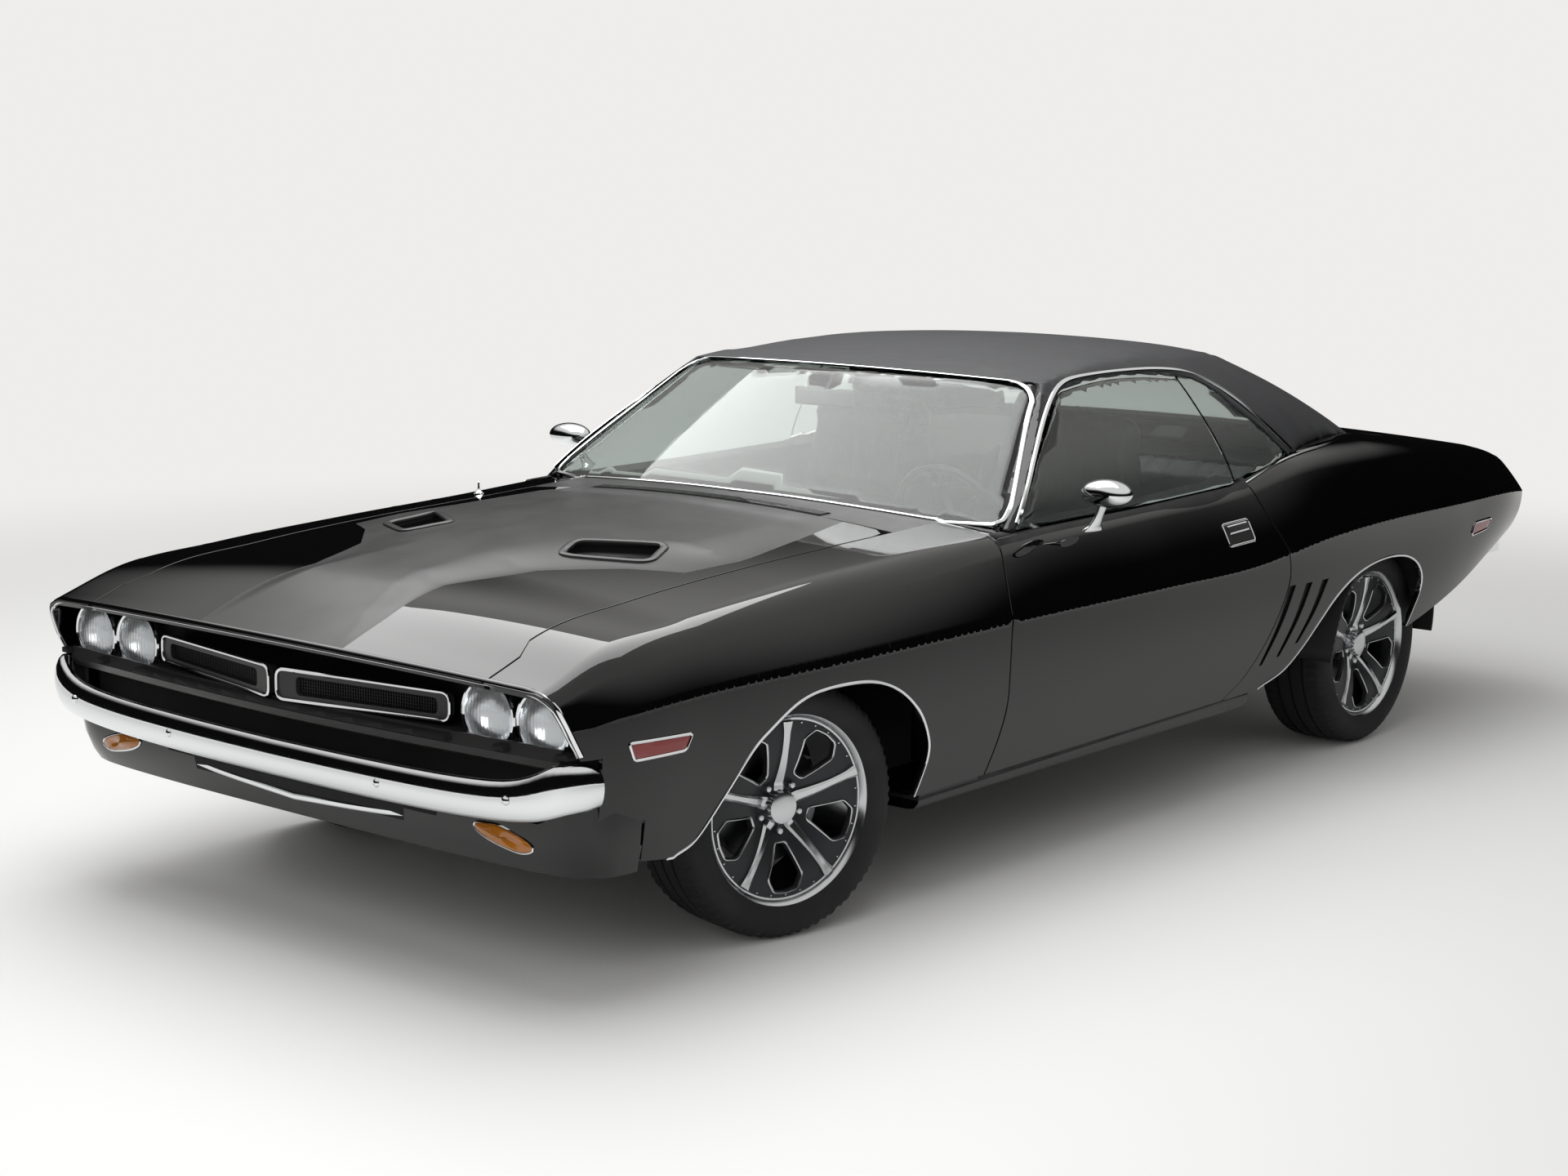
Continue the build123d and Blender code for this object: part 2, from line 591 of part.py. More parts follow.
def headlamps():
    """Four round lamps: a bowl through the panel, a domed lens and a bezel ring each."""
    rim = LAMP_R - 2
    lens_r = (rim**2 + LENS_RISE**2) / (2 * LENS_RISE)
    half_turn = math.asin(rim / lens_r) / 2
    crown = LAMP_DEPTH - 6 + LENS_RISE
    mid = (lens_r * math.sin(half_turn), crown - lens_r + lens_r * math.cos(half_turn))
    profile = line_face((0, 0), (LAMP_R - 8, 0), (LAMP_R - 8, LAMP_DEPTH - 18), (BEZEL_R, LAMP_DEPTH - 14),
                        (BEZEL_R, LAMP_DEPTH), (rim, LAMP_DEPTH - 6), (*mid, 0, crown))
    lamp = revolve(Plane.XZ * profile, axis=Axis.Z)
    return Compound(children=[Pos(side * x, LAMP_FACE_Y + LAMP_DEPTH, LAMP_Z) * Rot(90, 0, 0) * lamp
                              for side in (-1, 1) for x in LAMPS_X])


def grille_half():
    """Left half of the swept-back grille: frame, inset ring, cross bars and upright fins."""
    frame = Pos(GRILLE_HALF / 2, (GRILLE_LOW + GRILLE_TOP) / 2) * Rectangle(GRILLE_HALF, GRILLE_TOP - GRILLE_LOW)
    inset = Pos(GRILLE_HALF / 2, (GRILLE_LOW + GRILLE_TOP) / 2 - 6) * RectangleRounded(
        GRILLE_HALF - 50, 70, 26)
    ring = inset - offset(inset, amount=-9)
    body = front_slab(frame - inset, 0, 30) + front_slab(ring, -14, 30)
    for k in range(1, GRILLE_FINS):
        x = 25 + (GRILLE_HALF - 50) * k / GRILLE_FINS
        body += front_slab(Pos(x, (GRILLE_LOW + GRILLE_TOP) / 2 - 6) * Rectangle(5, 69), 2, 28)
    for dz in (-17, 5):
        body += front_slab(Pos(GRILLE_HALF / 2, (GRILLE_LOW + GRILLE_TOP) / 2 + dz) * Rectangle(
            GRILLE_HALF - 52, 5), 6, 24)
    return Pos(0, -900, 0) * Rot(0, 0, GRILLE_SWEEP) * body


def grille():
    """Both halves of the grille, joined at the middle fold."""
    half = grille_half() & block(0, 900, -1200, 0, 0, 1000)
    return half + mirror(half, about=Plane.YZ)


def nose_molding():
    """Bright strip round the lamp and grille cavity, let into the front edge of the body."""
    low, top = CAVITY_FLOOR + 13, NOSE_TOP - SHUT_GAP
    rim = Pos(0, (low + top) / 2) * RectangleRounded(1700, top - low, 52)
    ring = front_slab(rim - offset(rim, amount=-8), -1100, 0)
    band = plan_slab(line_face((-905, -868), (0, -924, 905, -868), (905, -850), (0, -906, -905, -850)),
                     500, 900)
    return ring & band & SKIN_CORE


def floor_top():
    """Top of the floor in (y, z): footwells, rear kick-up, boot floor."""
    low, kick, boot = FLOOR_Z, FLOOR_Z + 180, FLOOR_Z + 262
    return [(FLOOR_Y, low), (2240, low), (2400, kick), (3020, kick), (3090, boot), (3750, boot)]


def floor_pan():
    """Pressed floor: footwells, tunnel, rear kick-up and boot floor."""
    low, top = FLOOR_Z, floor_top()
    under = [(y + (8 if y < 2300 else 0), z - FLOOR_THICK) for y, z in reversed(top)]
    pan = side_slab(line_face(top[0], *top[1:], *under), -FLOOR_HALF, FLOOR_HALF)
    pan -= block(-160, 160, 600, 2262, low - 20, low + 20)
    arch = [(-170, low - FLOOR_THICK), (-120, low + 150), (-80, low + 170), (80, low + 170),
            (120, low + 150), (170, low - FLOOR_THICK)]
    core = [(-170 + 12, low - FLOOR_THICK - 1), (-110, low + 142), (-76, low + 158), (76, low + 158),
            (110, low + 142), (170 - 12, low - FLOOR_THICK - 1)]
    tunnel = front_slab(line_face(*arch), FLOOR_Y, 2396) - front_slab(line_face(*core), 600, 2400)
    tunnel -= side_slab(line_face((2262, 0), (2262, 269), (2408, 433), (2500, 433), (2500, 0)), -200, 200)
    wells = both_sides(block(REAR_WELL_IN, 900, 2290, 3300, 0, 900))
    return (pan + tunnel) - wells


def firewall():
    """Bulkhead between the engine and the cabin, with the hinge pillars at its ends."""
    wall = block(-DOOR_INNER_X + 10, DOOR_INNER_X - 10, WALL_Y, FLOOR_Y - FIT_GAP, FLOOR_Z - FLOOR_THICK, 838)
    wall -= both_sides(block(ROCKER_IN - 1, DOOR_INNER_X, 600, 700, 0, SILL_Z + 140 + FIT_GAP))
    pillar = block(DOOR_INNER_X - 10, PILLAR_OUT_X, WALL_Y, PILLAR_BACK_Y, SILL_Z + 140 + FIT_GAP, BELT_Z + 40)
    pillar = (pillar & SKIN_CORE) + (pillar & OUTER & block(DOOR_INNER_X - 10, PILLAR_OUT_X, 785, PILLAR_BACK_Y,
                                                            BELT_Z - 60, BELT_Z + 40))
    pillar -= block(0, 1000, 0, WALL_Y + 1, 0, 2000)
    return wall + pillar + mirror(pillar, about=Plane.YZ)


def engine_bay():
    """Inner fender walls, frame rails and radiator support."""
    back = WALL_Y - FIT_GAP
    rail = block(RAIL_IN, 420, -740, back, 330, 410)
    wall = block(432, 444, -740, back, 330, 770) + block(420, 444, -740, back, 330, 345)
    shelf = block(432, 900, -640, 632, 758, 770) & SKIN_CORE
    hinge = block(560, 590, 500, 560, 758, 1000) & Pos(0, 0, -FIT_GAP) * LID_CORE
    side = both_sides(rail + wall + shelf + hinge - block(400, 460, -110, 110, 440, 480))
    support = block(-444, 444, -752, -740, 330, 765) - block(-330, 330, -760, -730, 420, 730)
    core = block(-329.7, 329.7, -751, -712, 420.3, 729.7)
    return side, support, core


def engine():
    """Plain block of the engine's real size."""
    return block(-290, 290, -250, 520, ENGINE_LOW, 740) + block(-170, 170, -60, 330, 740, 800)


def front_suspension():
    """Cross member, lower arms and upper arms up to the knuckles' ball joints."""
    tip, top = KINGPIN_X + 22, ENGINE_LOW - FIT_GAP
    member = block(-345, 345, -45, 45, 214, top)
    lower = plan_slab(line_face((250, -80), (420, -80), (tip, -20), (tip, 20), (420, 80), (250, 80)), 190, 214)
    tower = block(300, RAIL_IN - FIT_GAP, -90, 90, top, 470)
    upper = plan_slab(line_face((330, -90), (KINGPIN_X - 40, -22), (tip, -22), (tip, 22), (KINGPIN_X - 40, 22),
                                (330, 90)), 450, 470)
    half = lower + tower + upper
    return member + half + mirror(half, about=Plane.YZ)


def knuckle():
    """Left steering knuckle with its spindle and steering arm, built straight ahead."""
    upright = block(KINGPIN_X - 20, KINGPIN_X + 10, -26, 26, 214 + FIT_GAP, 450 - FIT_GAP)
    spindle = rod((KINGPIN_X - 10, 0, TYRE_R), (FRONT_WHEEL_X + HUB_BACK - FIT_GAP, 0, TYRE_R), SPINDLE_R)
    arm = plan_slab(line_face((KINGPIN_X - 20, 0), (KINGPIN_X - 60, 130), (KINGPIN_X - 36, 138), (KINGPIN_X + 8, 10)),
                    236, 254)
    return upright + spindle + arm


def tyre_side(r):
    """Half width of the tyre's side wall at radius r, below its bulge."""
    return BEAD_HALF + (TYRE_WIDTH / 2 - BEAD_HALF) * (r - BEAD_R) / (TYRE_BULGE_R - BEAD_R)


def tyre():
    """Tyre about the x axis, with its centre at the origin."""
    half = [(BEAD_R, BEAD_HALF), (TYRE_BULGE_R, TYRE_WIDTH / 2), (TYRE_R, TYRE_TREAD / 2)]
    points = [(a, r) for r, a in half] + [(-a, r) for r, a in reversed(half)]
    return revolve(Plane.XZ * line_face(*points), axis=Axis.X)


def wheel():
    """Star wheel about the x axis, face towards +x: barrel, lips, five spokes, brake disc and hub."""
    seat = BEAD_R - FIT_GAP
    inner = seat - BARREL_THICK
    lip_in = tyre_side(LIP_R) + FIT_GAP
    outline = [(-lip_in - LIP_THICK, seat - 4), (-lip_in - LIP_THICK, LIP_R), (-lip_in, LIP_R),
               (-BEAD_HALF - FIT_GAP, seat), (BEAD_HALF + FIT_GAP, seat), (lip_in, LIP_R),
               (lip_in + LIP_THICK, LIP_R), (lip_in + LIP_THICK, seat - 4), (BEAD_HALF, inner), (-BEAD_HALF, inner)]
    barrel = revolve(Plane.XZ * line_face(*outline), axis=Axis.X)
    face_in, face_out = SPOKE_FACE, SPOKE_FACE + SPOKE_THICK
    dish = line_face((HUB_FACE - SPOKE_THICK, 20), (HUB_FACE, 20), (HUB_FACE, HUB_R), (face_out, inner + 1),
                     (face_in, inner + 1), (HUB_FACE - SPOKE_THICK, HUB_R))
    star = revolve(Plane.XZ * dish, axis=Axis.X)
    window = line_face((-WINDOW_FOOT, HUB_R + 12), (-WINDOW_FOOT - 36, inner - 48), (-WINDOW_FOOT - 20, inner - 16),
                       (0, inner - 9, WINDOW_FOOT + 20, inner - 16), (WINDOW_FOOT + 36, inner - 48),
                       (WINDOW_FOOT, HUB_R + 12))
    hole = extrude(Plane.YZ * window, amount=200)
    for k in range(SPOKES):
        star -= hole.rotate(Axis.X, 360 / SPOKES * (k + 0.5))
    pad = HUB_FACE - SPOKE_THICK
    disc = rod((HUB_BACK, 0, 0), (HUB_BACK + DISC_THICK, 0, 0), DISC_R)
    hub = rod((HUB_BACK, 0, 0), (pad + 1, 0, 0), HUB_R - 6)
    cap = rod((pad, 0, 0), (HUB_FACE + 22, 0, 0), CAP_R)
    whole = barrel + star + disc + hub + cap
    for k in range(SPOKES):
        turn = math.radians(360 / SPOKES * k)
        nut = extrude(Plane.YZ * RegularPolygon(LUG_R, 6), amount=LUG_LENGTH)
        whole += Pos(HUB_FACE - 1, LUG_CIRCLE_R * math.sin(turn), LUG_CIRCLE_R * math.cos(turn)) * nut
    return whole


def rear_axle():
    """Live axle, differential and leaf springs."""
    y, z = WHEELBASE, TYRE_R
    end = REAR_WHEEL_X + HUB_BACK - FIT_GAP
    tube = rod((-REAR_WHEEL_X + 34, y, z), (REAR_WHEEL_X - 34, y, z), 38) + rod((-end, y, z), (end, y, z), SPINDLE_R)
    case = Pos(0, y, z) * Rot(0, 90, 0) * Cylinder(112, 190) + rod((0, y - 190, z), (0, y, z), 62)
    spring = side_slab(line_face((2330, 300), (2794, 262, 3330, 330), (3330, 346), (2794, 280, 2330, 316)), 515, 575)
    pad = block(515, 575, y - 60, y + 60, 262, z)
    eye = block(515, 575, 2320, 2336, 300, 330.5)
    shackle = block(515, 575, 3302, 3328, 336, FLOOR_Z + 262 - FLOOR_THICK - FIT_GAP)
    return group(tube + case, both_sides(spring + pad + eye + shackle - tube))


def exhaust_path(side):
    """Centre line of one exhaust pipe, under the floor and out past the tail."""
    x = side * EXHAUST_X
    tip = WHEELBASE + REAR_REACH - 60
    return FilletPolyline((x, 430, ENGINE_LOW - FIT_GAP), (x, 430, EXHAUST_Z), (x, 2500, EXHAUST_Z),
                          (x, 3150, EXHAUST_Z + 30),
                          (side * (EXHAUST_X + 170), 3440, 300), (side * (EXHAUST_X + 170), tip, 300), radius=110)


def exhaust():
    """Two pipes with mufflers and rectangular tips."""
    solids = []
    for side in (-1, 1):
        path = exhaust_path(side)
        pipe = sweep(Plane(path @ 0, z_dir=path % 0) * Circle(PIPE_R), path=path)
        muffler = Pos(side * EXHAUST_X, 1900, EXHAUST_Z) * Rot(90, 0, 0) * extrude(
            RectangleRounded(170, 78, 34), amount=270, both=True)
        solids.append(pipe + muffler)
    return Compound(children=[solid for part in solids for solid in part.solids()])


def fuel_tank():
    """Fuel tank under the boot floor."""
    tank = block(-330, 330, 3240, 3640, 360, FLOOR_Z + 262 - FLOOR_THICK - FIT_GAP)
    return fillet(tank.edges().filter_by(Axis.Z), 40)


def dash():
    """Instrument panel with a brow over the dials and a lower roll."""
    side = line_face((800, 868), (960, 880), (1010, 862, 1012, 836), (985, 800), (1000, 700), (970, 668), (800, 668))
    panel = side_slab(side, -DASH_HALF, DASH_HALF) - OUTER_ABOVE_BELT
    hood_over_dials = block(210, 550, 1013, 1040, 812, 850)
    return panel + hood_over_dials + block(210, 550, 1000, 1014, 812, 850)


OUTER_ABOVE_BELT = block(-1200, 1200, 0, 3000, BELT_Z + 8, ROOF_Z)


def steering_column():
    """Column from the panel to the steering wheel's hub."""
    x, y, z = STEERING_HUB
    tilt = math.radians(STEERING_TILT)
    back, near = [(x, y - reach * math.cos(tilt), z - reach * math.sin(tilt))
                  for reach in (COLUMN_LENGTH, 33 + FIT_GAP)]
    return biggest(rod(back, near, COLUMN_R) - Pos(0, FIT_GAP, 0) * dash())


def steering_wheel():
    """Rim, three spokes and the horn pad, about the column's axis."""
    rim = revolve(Plane.XZ * (Pos(STEERING_R, 0) * RegularPolygon(STEERING_RIM_R, 8)), axis=Axis.Z)
    spokes = [Rot(0, 0, turn) * Pos(STEERING_R / 2 + 10, 0, -4) * Box(STEERING_R - 24, 26, 6)
              for turn in (0, 180, 270)]
    whole = rim + spokes + Pos(0, 0, -12) * Cylinder(46, 42)
    return Pos(*STEERING_HUB) * Rot(STEERING_TILT - 90, 0, 0) * whole


def bucket_seat(x):
    """High-back bucket seat: cushion with side rolls and a tapering back."""
    cushion = side_slab(line_face((1290, 330), (1285, 430), (1320, 462), (1760, 428), (1800, 330)),
                        x - SEAT_HALF, x + SEAT_HALF)
    back = side_slab(line_face((1700, 445), (1745, 760), (1790, 1040), (1806, 1088, 1850, 1090), (1890, 1070),
                               (1880, 760), (1830, 340), (1803, 340)), x - SEAT_HALF, x + SEAT_HALF)
    taper = front_slab(line_face((x - SEAT_HALF, 300), (x + SEAT_HALF, 300), (x + SEAT_HALF, 640),
                                 (x + SEAT_HALF - 45, 1000), (x + SEAT_HALF - 60, 1075, x + SEAT_HALF - 120, 1092),
                                 (x - SEAT_HALF + 120, 1092),
                                 (x - SEAT_HALF + 60, 1075, x - SEAT_HALF + 45, 1000), (x - SEAT_HALF, 640)),
                       1600, 2000)
    dish = side_slab(line_face((1300, 500), (1320, 448), (1740, 414), (1770, 800), (1700, 800)),
                     x - SEAT_HALF + 70, x + SEAT_HALF - 70)
    mount = block(x - 170, x + 170, 1330, 1760, FLOOR_Z + FIT_GAP, 331)
    return cushion + (back & taper) - dish + mount


def rear_seat():
    """Rear bench with its back up to the parcel shelf."""
    half = REAR_WELL_IN - 12
    outline = line_face((2255, 285), (2215, 430), (2240, 500), (2640, 478), (2720, 800), (2800, 838), (2838, 820),
                        (2800, 400), (2300, 300))
    under = line_face((600, 0), *[(y, z + FIT_GAP) for y, z in floor_top()], (3750, 0))
    bench = side_slab(outline, -half, half) - side_slab(under, -half, half)
    return bench - block(-175, 175, 2200, 2400, 0, FLOOR_Z + 174)


def parcel_shelf():
    """Shelf behind the rear seat and the bulkhead to the boot."""
    half = REAR_WELL_IN - 12
    return side_slab(line_face((2845, 846), (3085, 862), (3085, 850), (2857, 836), (2857, 442.3), (2845, 442.3)),
                     -half, half)


def wheelhouses():
    """Rear inner wheel arches joined to the floor's sides."""
    y, z, r = WHEELBASE, TYRE_R, TYRE_R + ARCH_CLEAR
    ring = line_face((y - r - 8, z), (y, z + r + 8, y + r + 8, z), (y + r, z), (y, z + r, y - r, z))
    cover = side_slab(ring, REAR_WELL_IN, 1100) & SKIN_CORE
    wall = side_slab(line_face((2290, 262), (2330, 470), (y - 240, z + r - 60), (y, z + r + 8),
                               (y + 240, z + r - 60), (3280, 470), (3280, 440), (y + 150, 400), (y - 150, 400)),
                     REAR_WELL_IN, REAR_WELL_IN + 8)
    return cover + wall


def mirror_pod():
    """Left door mirror: a pod with round ends, bevelled ahead, on a short pedestal."""
    x, y, z = MIRROR_AT
    outline = Pos(x, z) * RectangleRounded(MIRROR_W, MIRROR_H, MIRROR_H / 2 - 1)
    pod = front_slab(outline, y - MIRROR_AHEAD, y + MIRROR_BEHIND)
    pod = chamfer(pod.faces().sort_by(Axis.Y)[0].edges(), MIRROR_BEVEL)
    foot = front_slab(line_face((x - 112, 860), (x - 60, 880), (x - 2, z - 12), (x - 30, z - 10), (x - 112, 905)),
                      y - 10, y + MIRROR_BEHIND)
    return pod + (foot - OUTER)


def small_lamps():
    """Amber parking lamps under the bumper and the side marker lamps."""
    park = front_slab(parking_outline(1, -FIT_GAP), -870, -800)
    park = park & plan_slab(line_face((560, -858), (740, -840), (740, -800), (560, -815)), 300, 440)
    front = side_slab(line_face((-700, 592), (-545, 592), (-520, 622), (-675, 622)), 900, 1000)
    rear = side_slab(line_face((3455, 602), (3610, 602), (3632, 632), (3480, 632)), 900, 1000)
    marker = ((front + rear) & Pos(5, 0, 0) * OUTER) - OUTER
    return both_sides(marker), park


def steered(part, side):
    """A part of the front corner turned about its kingpin by the parked steering angle."""
    return part.rotate(Axis((side * KINGPIN_X, 0, 0), (0, 0, 1)), STEER_PARKED)


def right(part):
    """Mirror image on the car's right."""
    return mirror(part, about=Plane.YZ)


def placed(part, side):
    """A left-hand part, mirrored when side is -1."""
    return right(part) if side < 0 else part


def group(*parts):
    """Several solids as one node."""
    return Compound(children=[solid for part in parts for solid in part.solids()])


ORIGIN_Y = (WHEELBASE + REAR_REACH - FRONT_REACH) / 2
door_glass, quarter_glass = side_glass()
corner_tyre, corner_wheel, left_knuckle = tyre(), wheel(), knuckle()
left_fender, left_door, left_quarter, left_mirror = fender(), door(), quarter(), mirror_pod()
bay_sides, bay_support, radiator = engine_bay()
markers, parking = small_lamps()

nodes = {
    "hood": hood(),
    "deck_lid": deck_lid(),
    "fender_left": left_fender,
    "fender_right": right(left_fender),
    "door_left": left_door,
    "door_right": right(left_door),
    "door_glass_left": door_glass,
    "door_glass_right": right(door_glass),
    "mirror_left": left_mirror,
    "mirror_right": right(left_mirror),
    "quarter_left": left_quarter,
    "quarter_right": right(left_quarter),
    "rockers": both_sides(rocker()),
    "roof": roof(),
    "cowl": cowl(),
    "deck_filler": deck_filler(),
    "tail_panel": tail_panel(),
    "tail_lamps": tail_lamps(),
    "windshield": windshield(),
    "backlight": backlight(),
    "quarter_glass": both_sides(quarter_glass),
    "front_bumper": front_bumper(),
    "rear_bumper": rear_bumper(),
    "front_valance": valance(),
    "nose_panel": nose_panel(),
    "headlamps": headlamps(),
    "grille": grille(),
    "nose_molding": nose_molding(),
    "small_lamps": group(markers, parking, right(parking)),
    "floor_pan": floor_pan(),
    "firewall": firewall(),
    "engine_bay": group(bay_sides, bay_support),
    "radiator": radiator,
    "engine": engine(),
    "front_suspension": front_suspension(),
    "rear_axle": rear_axle(),
    "wheelhouses": both_sides(wheelhouses()),
    "exhaust": exhaust(),
    "fuel_tank": fuel_tank(),
    "dash": dash(),
    "steering_column": steering_column(),
    "steering_wheel": steering_wheel(),
    "front_seats": group(bucket_seat(SEAT_X), bucket_seat(-SEAT_X)),
    "rear_seat": rear_seat(),
    "parcel_shelf": parcel_shelf(),
}
for side, name in ((1, "left"), (-1, "right")):
    nodes[f"knuckle_{name}"] = steered(placed(left_knuckle, side), side)
    for piece, part in (("tyre", corner_tyre), ("wheel", corner_wheel)):
        front, rear = Pos(FRONT_WHEEL_X, 0, TYRE_R) * part, Pos(REAR_WHEEL_X, WHEELBASE, TYRE_R) * part
        nodes[f"{piece}_front_{name}"] = steered(placed(front, side), side)
        nodes[f"{piece}_rear_{name}"] = placed(rear, side)

os.makedirs("parts", exist_ok=True)
for name, part in nodes.items():
    export_step(Pos(0, -ORIGIN_Y, 0) * part, f"parts/{name}.step")
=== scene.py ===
import logging
import math
from dataclasses import dataclass, field
from enum import Enum
from typing import Callable, Optional, Sequence

import bmesh
import bpy
import numpy as np
from mathutils import Matrix, Vector
from mathutils.kdtree import KDTree
from mathutils.bvhtree import BVHTree
from mathutils.geometry import delaunay_2d_cdt


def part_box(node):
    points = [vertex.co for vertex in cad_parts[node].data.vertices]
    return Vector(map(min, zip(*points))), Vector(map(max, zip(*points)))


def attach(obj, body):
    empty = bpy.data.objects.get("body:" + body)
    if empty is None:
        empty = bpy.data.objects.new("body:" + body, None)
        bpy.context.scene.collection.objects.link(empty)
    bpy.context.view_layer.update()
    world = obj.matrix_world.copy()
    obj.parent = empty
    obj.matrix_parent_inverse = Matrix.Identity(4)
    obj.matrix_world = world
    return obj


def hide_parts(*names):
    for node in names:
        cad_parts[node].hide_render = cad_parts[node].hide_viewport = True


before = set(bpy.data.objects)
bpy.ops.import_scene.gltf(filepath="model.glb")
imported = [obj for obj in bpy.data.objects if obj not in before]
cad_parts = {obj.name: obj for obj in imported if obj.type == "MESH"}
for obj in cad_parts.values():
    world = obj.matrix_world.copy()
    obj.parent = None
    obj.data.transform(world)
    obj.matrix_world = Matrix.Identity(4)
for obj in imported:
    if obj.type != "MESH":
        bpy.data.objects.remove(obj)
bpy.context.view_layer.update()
log = logging.getLogger("muscle_car")

# Places are millimetres in the builder's own frame: x to the car's left, y rearward from the front
# axle, z up from the ground. Shape.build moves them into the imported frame, in metres.
WHEELBASE = 2794.0
HALF_WIDTH = 965.0
FRONT_REACH = 925.0
CREASE_Z = 690.0
BELT_Z = 880.0
SILL_Z = 290.0
SHUT_GAP = 7.0
MM = 0.001

rear_low, rear_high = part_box("wheel_rear_left")
AXLE_SHIFT = (rear_low.y + rear_high.y) / 2 / MM - WHEELBASE

Array = np.ndarray


def unit(vectors: Array) -> Array:
    """Vectors scaled to length one, row by row."""
    return vectors / np.maximum(np.linalg.norm(vectors, axis=-1, keepdims=True), 1e-9)


def linear(colour: str) -> tuple[float, float, float, float]:
    """Turns a colour as written into the linear values that a shader socket takes.

    Args:
        colour: sRGB colour as "#rrggbb".

    Returns:
        Linear red, green, blue and an alpha of one.
    """
    parts = [int(colour[k : k + 2], 16) / 255 for k in (1, 3, 5)]
    lin = [c / 12.92 if c <= 0.04045 else ((c + 0.055) / 1.055) ** 2.4 for c in parts]
    return lin[0], lin[1], lin[2], 1.0


def catmull(points: Sequence[Sequence[float]], step: float, closed: bool = False) -> Array:
    """Smooth line through points, sampled about every step.

    Args:
        points: Points that the line goes through, in any number of dimensions.
        step: Distance between samples.
        closed: Whether the line returns to its first point.

    Returns:
        Samples, one per row; a closed line doesn't repeat its first sample.
    """
    p = np.array(points, float)
    n = len(p)
    at = (lambda k: p[k % n]) if closed else (lambda k: p[min(max(k, 0), n - 1)])
    out = []
    for k in range(n if closed else n - 1):
        a, b, c, d = at(k - 1), at(k), at(k + 1), at(k + 2)
        count = max(2, int(np.linalg.norm(c - b) / step))
        for s in np.arange(count) / count:
            out.append(0.5 * (2 * b + (c - a) * s + (2 * a - 5 * b + 4 * c - d) * s**2
                              + (3 * b - a - 3 * c + d) * s**3))
    if not closed:
        out.append(p[-1])
    return np.array(out)


def polyline(points: Sequence[Sequence[float]], step: float, closed: bool = False) -> Array:
    """Straight runs through points, sampled about every step."""
    p = [np.array(q, float) for q in points]
    if closed:
        p.append(p[0])
    out = []
    for a, b in zip(p[:-1], p[1:]):
        count = max(1, int(np.ceil(np.linalg.norm(b - a) / step)))
        out += [a + (b - a) * s / count for s in range(count)]
    if not closed:
        out.append(p[-1])
    return np.array(out)


def rounded(points: Sequence[Sequence[float]], radius: float, step: float = 4.0) -> Array:
    """Closed polygon with every corner rounded to radius, sampled about every step."""
    p = [np.array(q, float) for q in points]
    out: list[Array] = []
    for k, corner in enumerate(p):
        before, after = p[k - 1] - corner, p[(k + 1) % len(p)] - corner
        reach = min(radius, 0.45 * np.linalg.norm(before), 0.45 * np.linalg.norm(after))
        a, b = corner + unit(before) * reach, corner + unit(after) * reach
        for s in np.linspace(0, 1, 7):
            out.append((1 - s) ** 2 * a + 2 * s * (1 - s) * corner + s**2 * b)
    return polyline(out, step, closed=True)


def resampled(loop: Array, count: int) -> Array:
    """A closed loop with count evenly spaced points."""
    closed = np.concatenate([loop, loop[:1]])
    along = np.concatenate([[0], np.cumsum(np.linalg.norm(np.diff(closed, axis=0), axis=1))])
    at = np.linspace(0, along[-1], count, endpoint=False)
    return np.stack([np.interp(at, along, closed[:, k]) for k in range(closed.shape[1])], 1)


def inside(points: Array, loops: Sequence[Array]) -> Array:
    """Whether each 2-D point lies inside the loops, counting holes."""
    hit = np.zeros(len(points), bool)
    x, y = points[:, 0], points[:, 1]
    for loop in loops:
        nxt = np.roll(loop, -1, axis=0)
        for (ax, ay), (bx, by) in zip(loop, nxt):
            if ay == by:
                continue
            crosses = (ay > y) != (by > y)
            hit ^= crosses & (x < (bx - ax) * (y - ay) / (by - ay) + ax)
    return hit


def spread(points: Array, others: Array) -> Array:
    """Distance from each point to the nearest of the others."""
    near = np.full(len(points), 1e9)
    for k in range(0, len(points), 2000):
        chunk = points[k : k + 2000]
        near[k : k + 2000] = np.min(np.linalg.norm(chunk[:, None] - others[None], axis=2), axis=1)
    return near


def added(name: str, data: bpy.types.ID) -> bpy.types.Object:
    """A new object in the scene, at the origin."""
    obj = bpy.data.objects.new(name, data)
    bpy.context.scene.collection.objects.link(obj)
    return obj


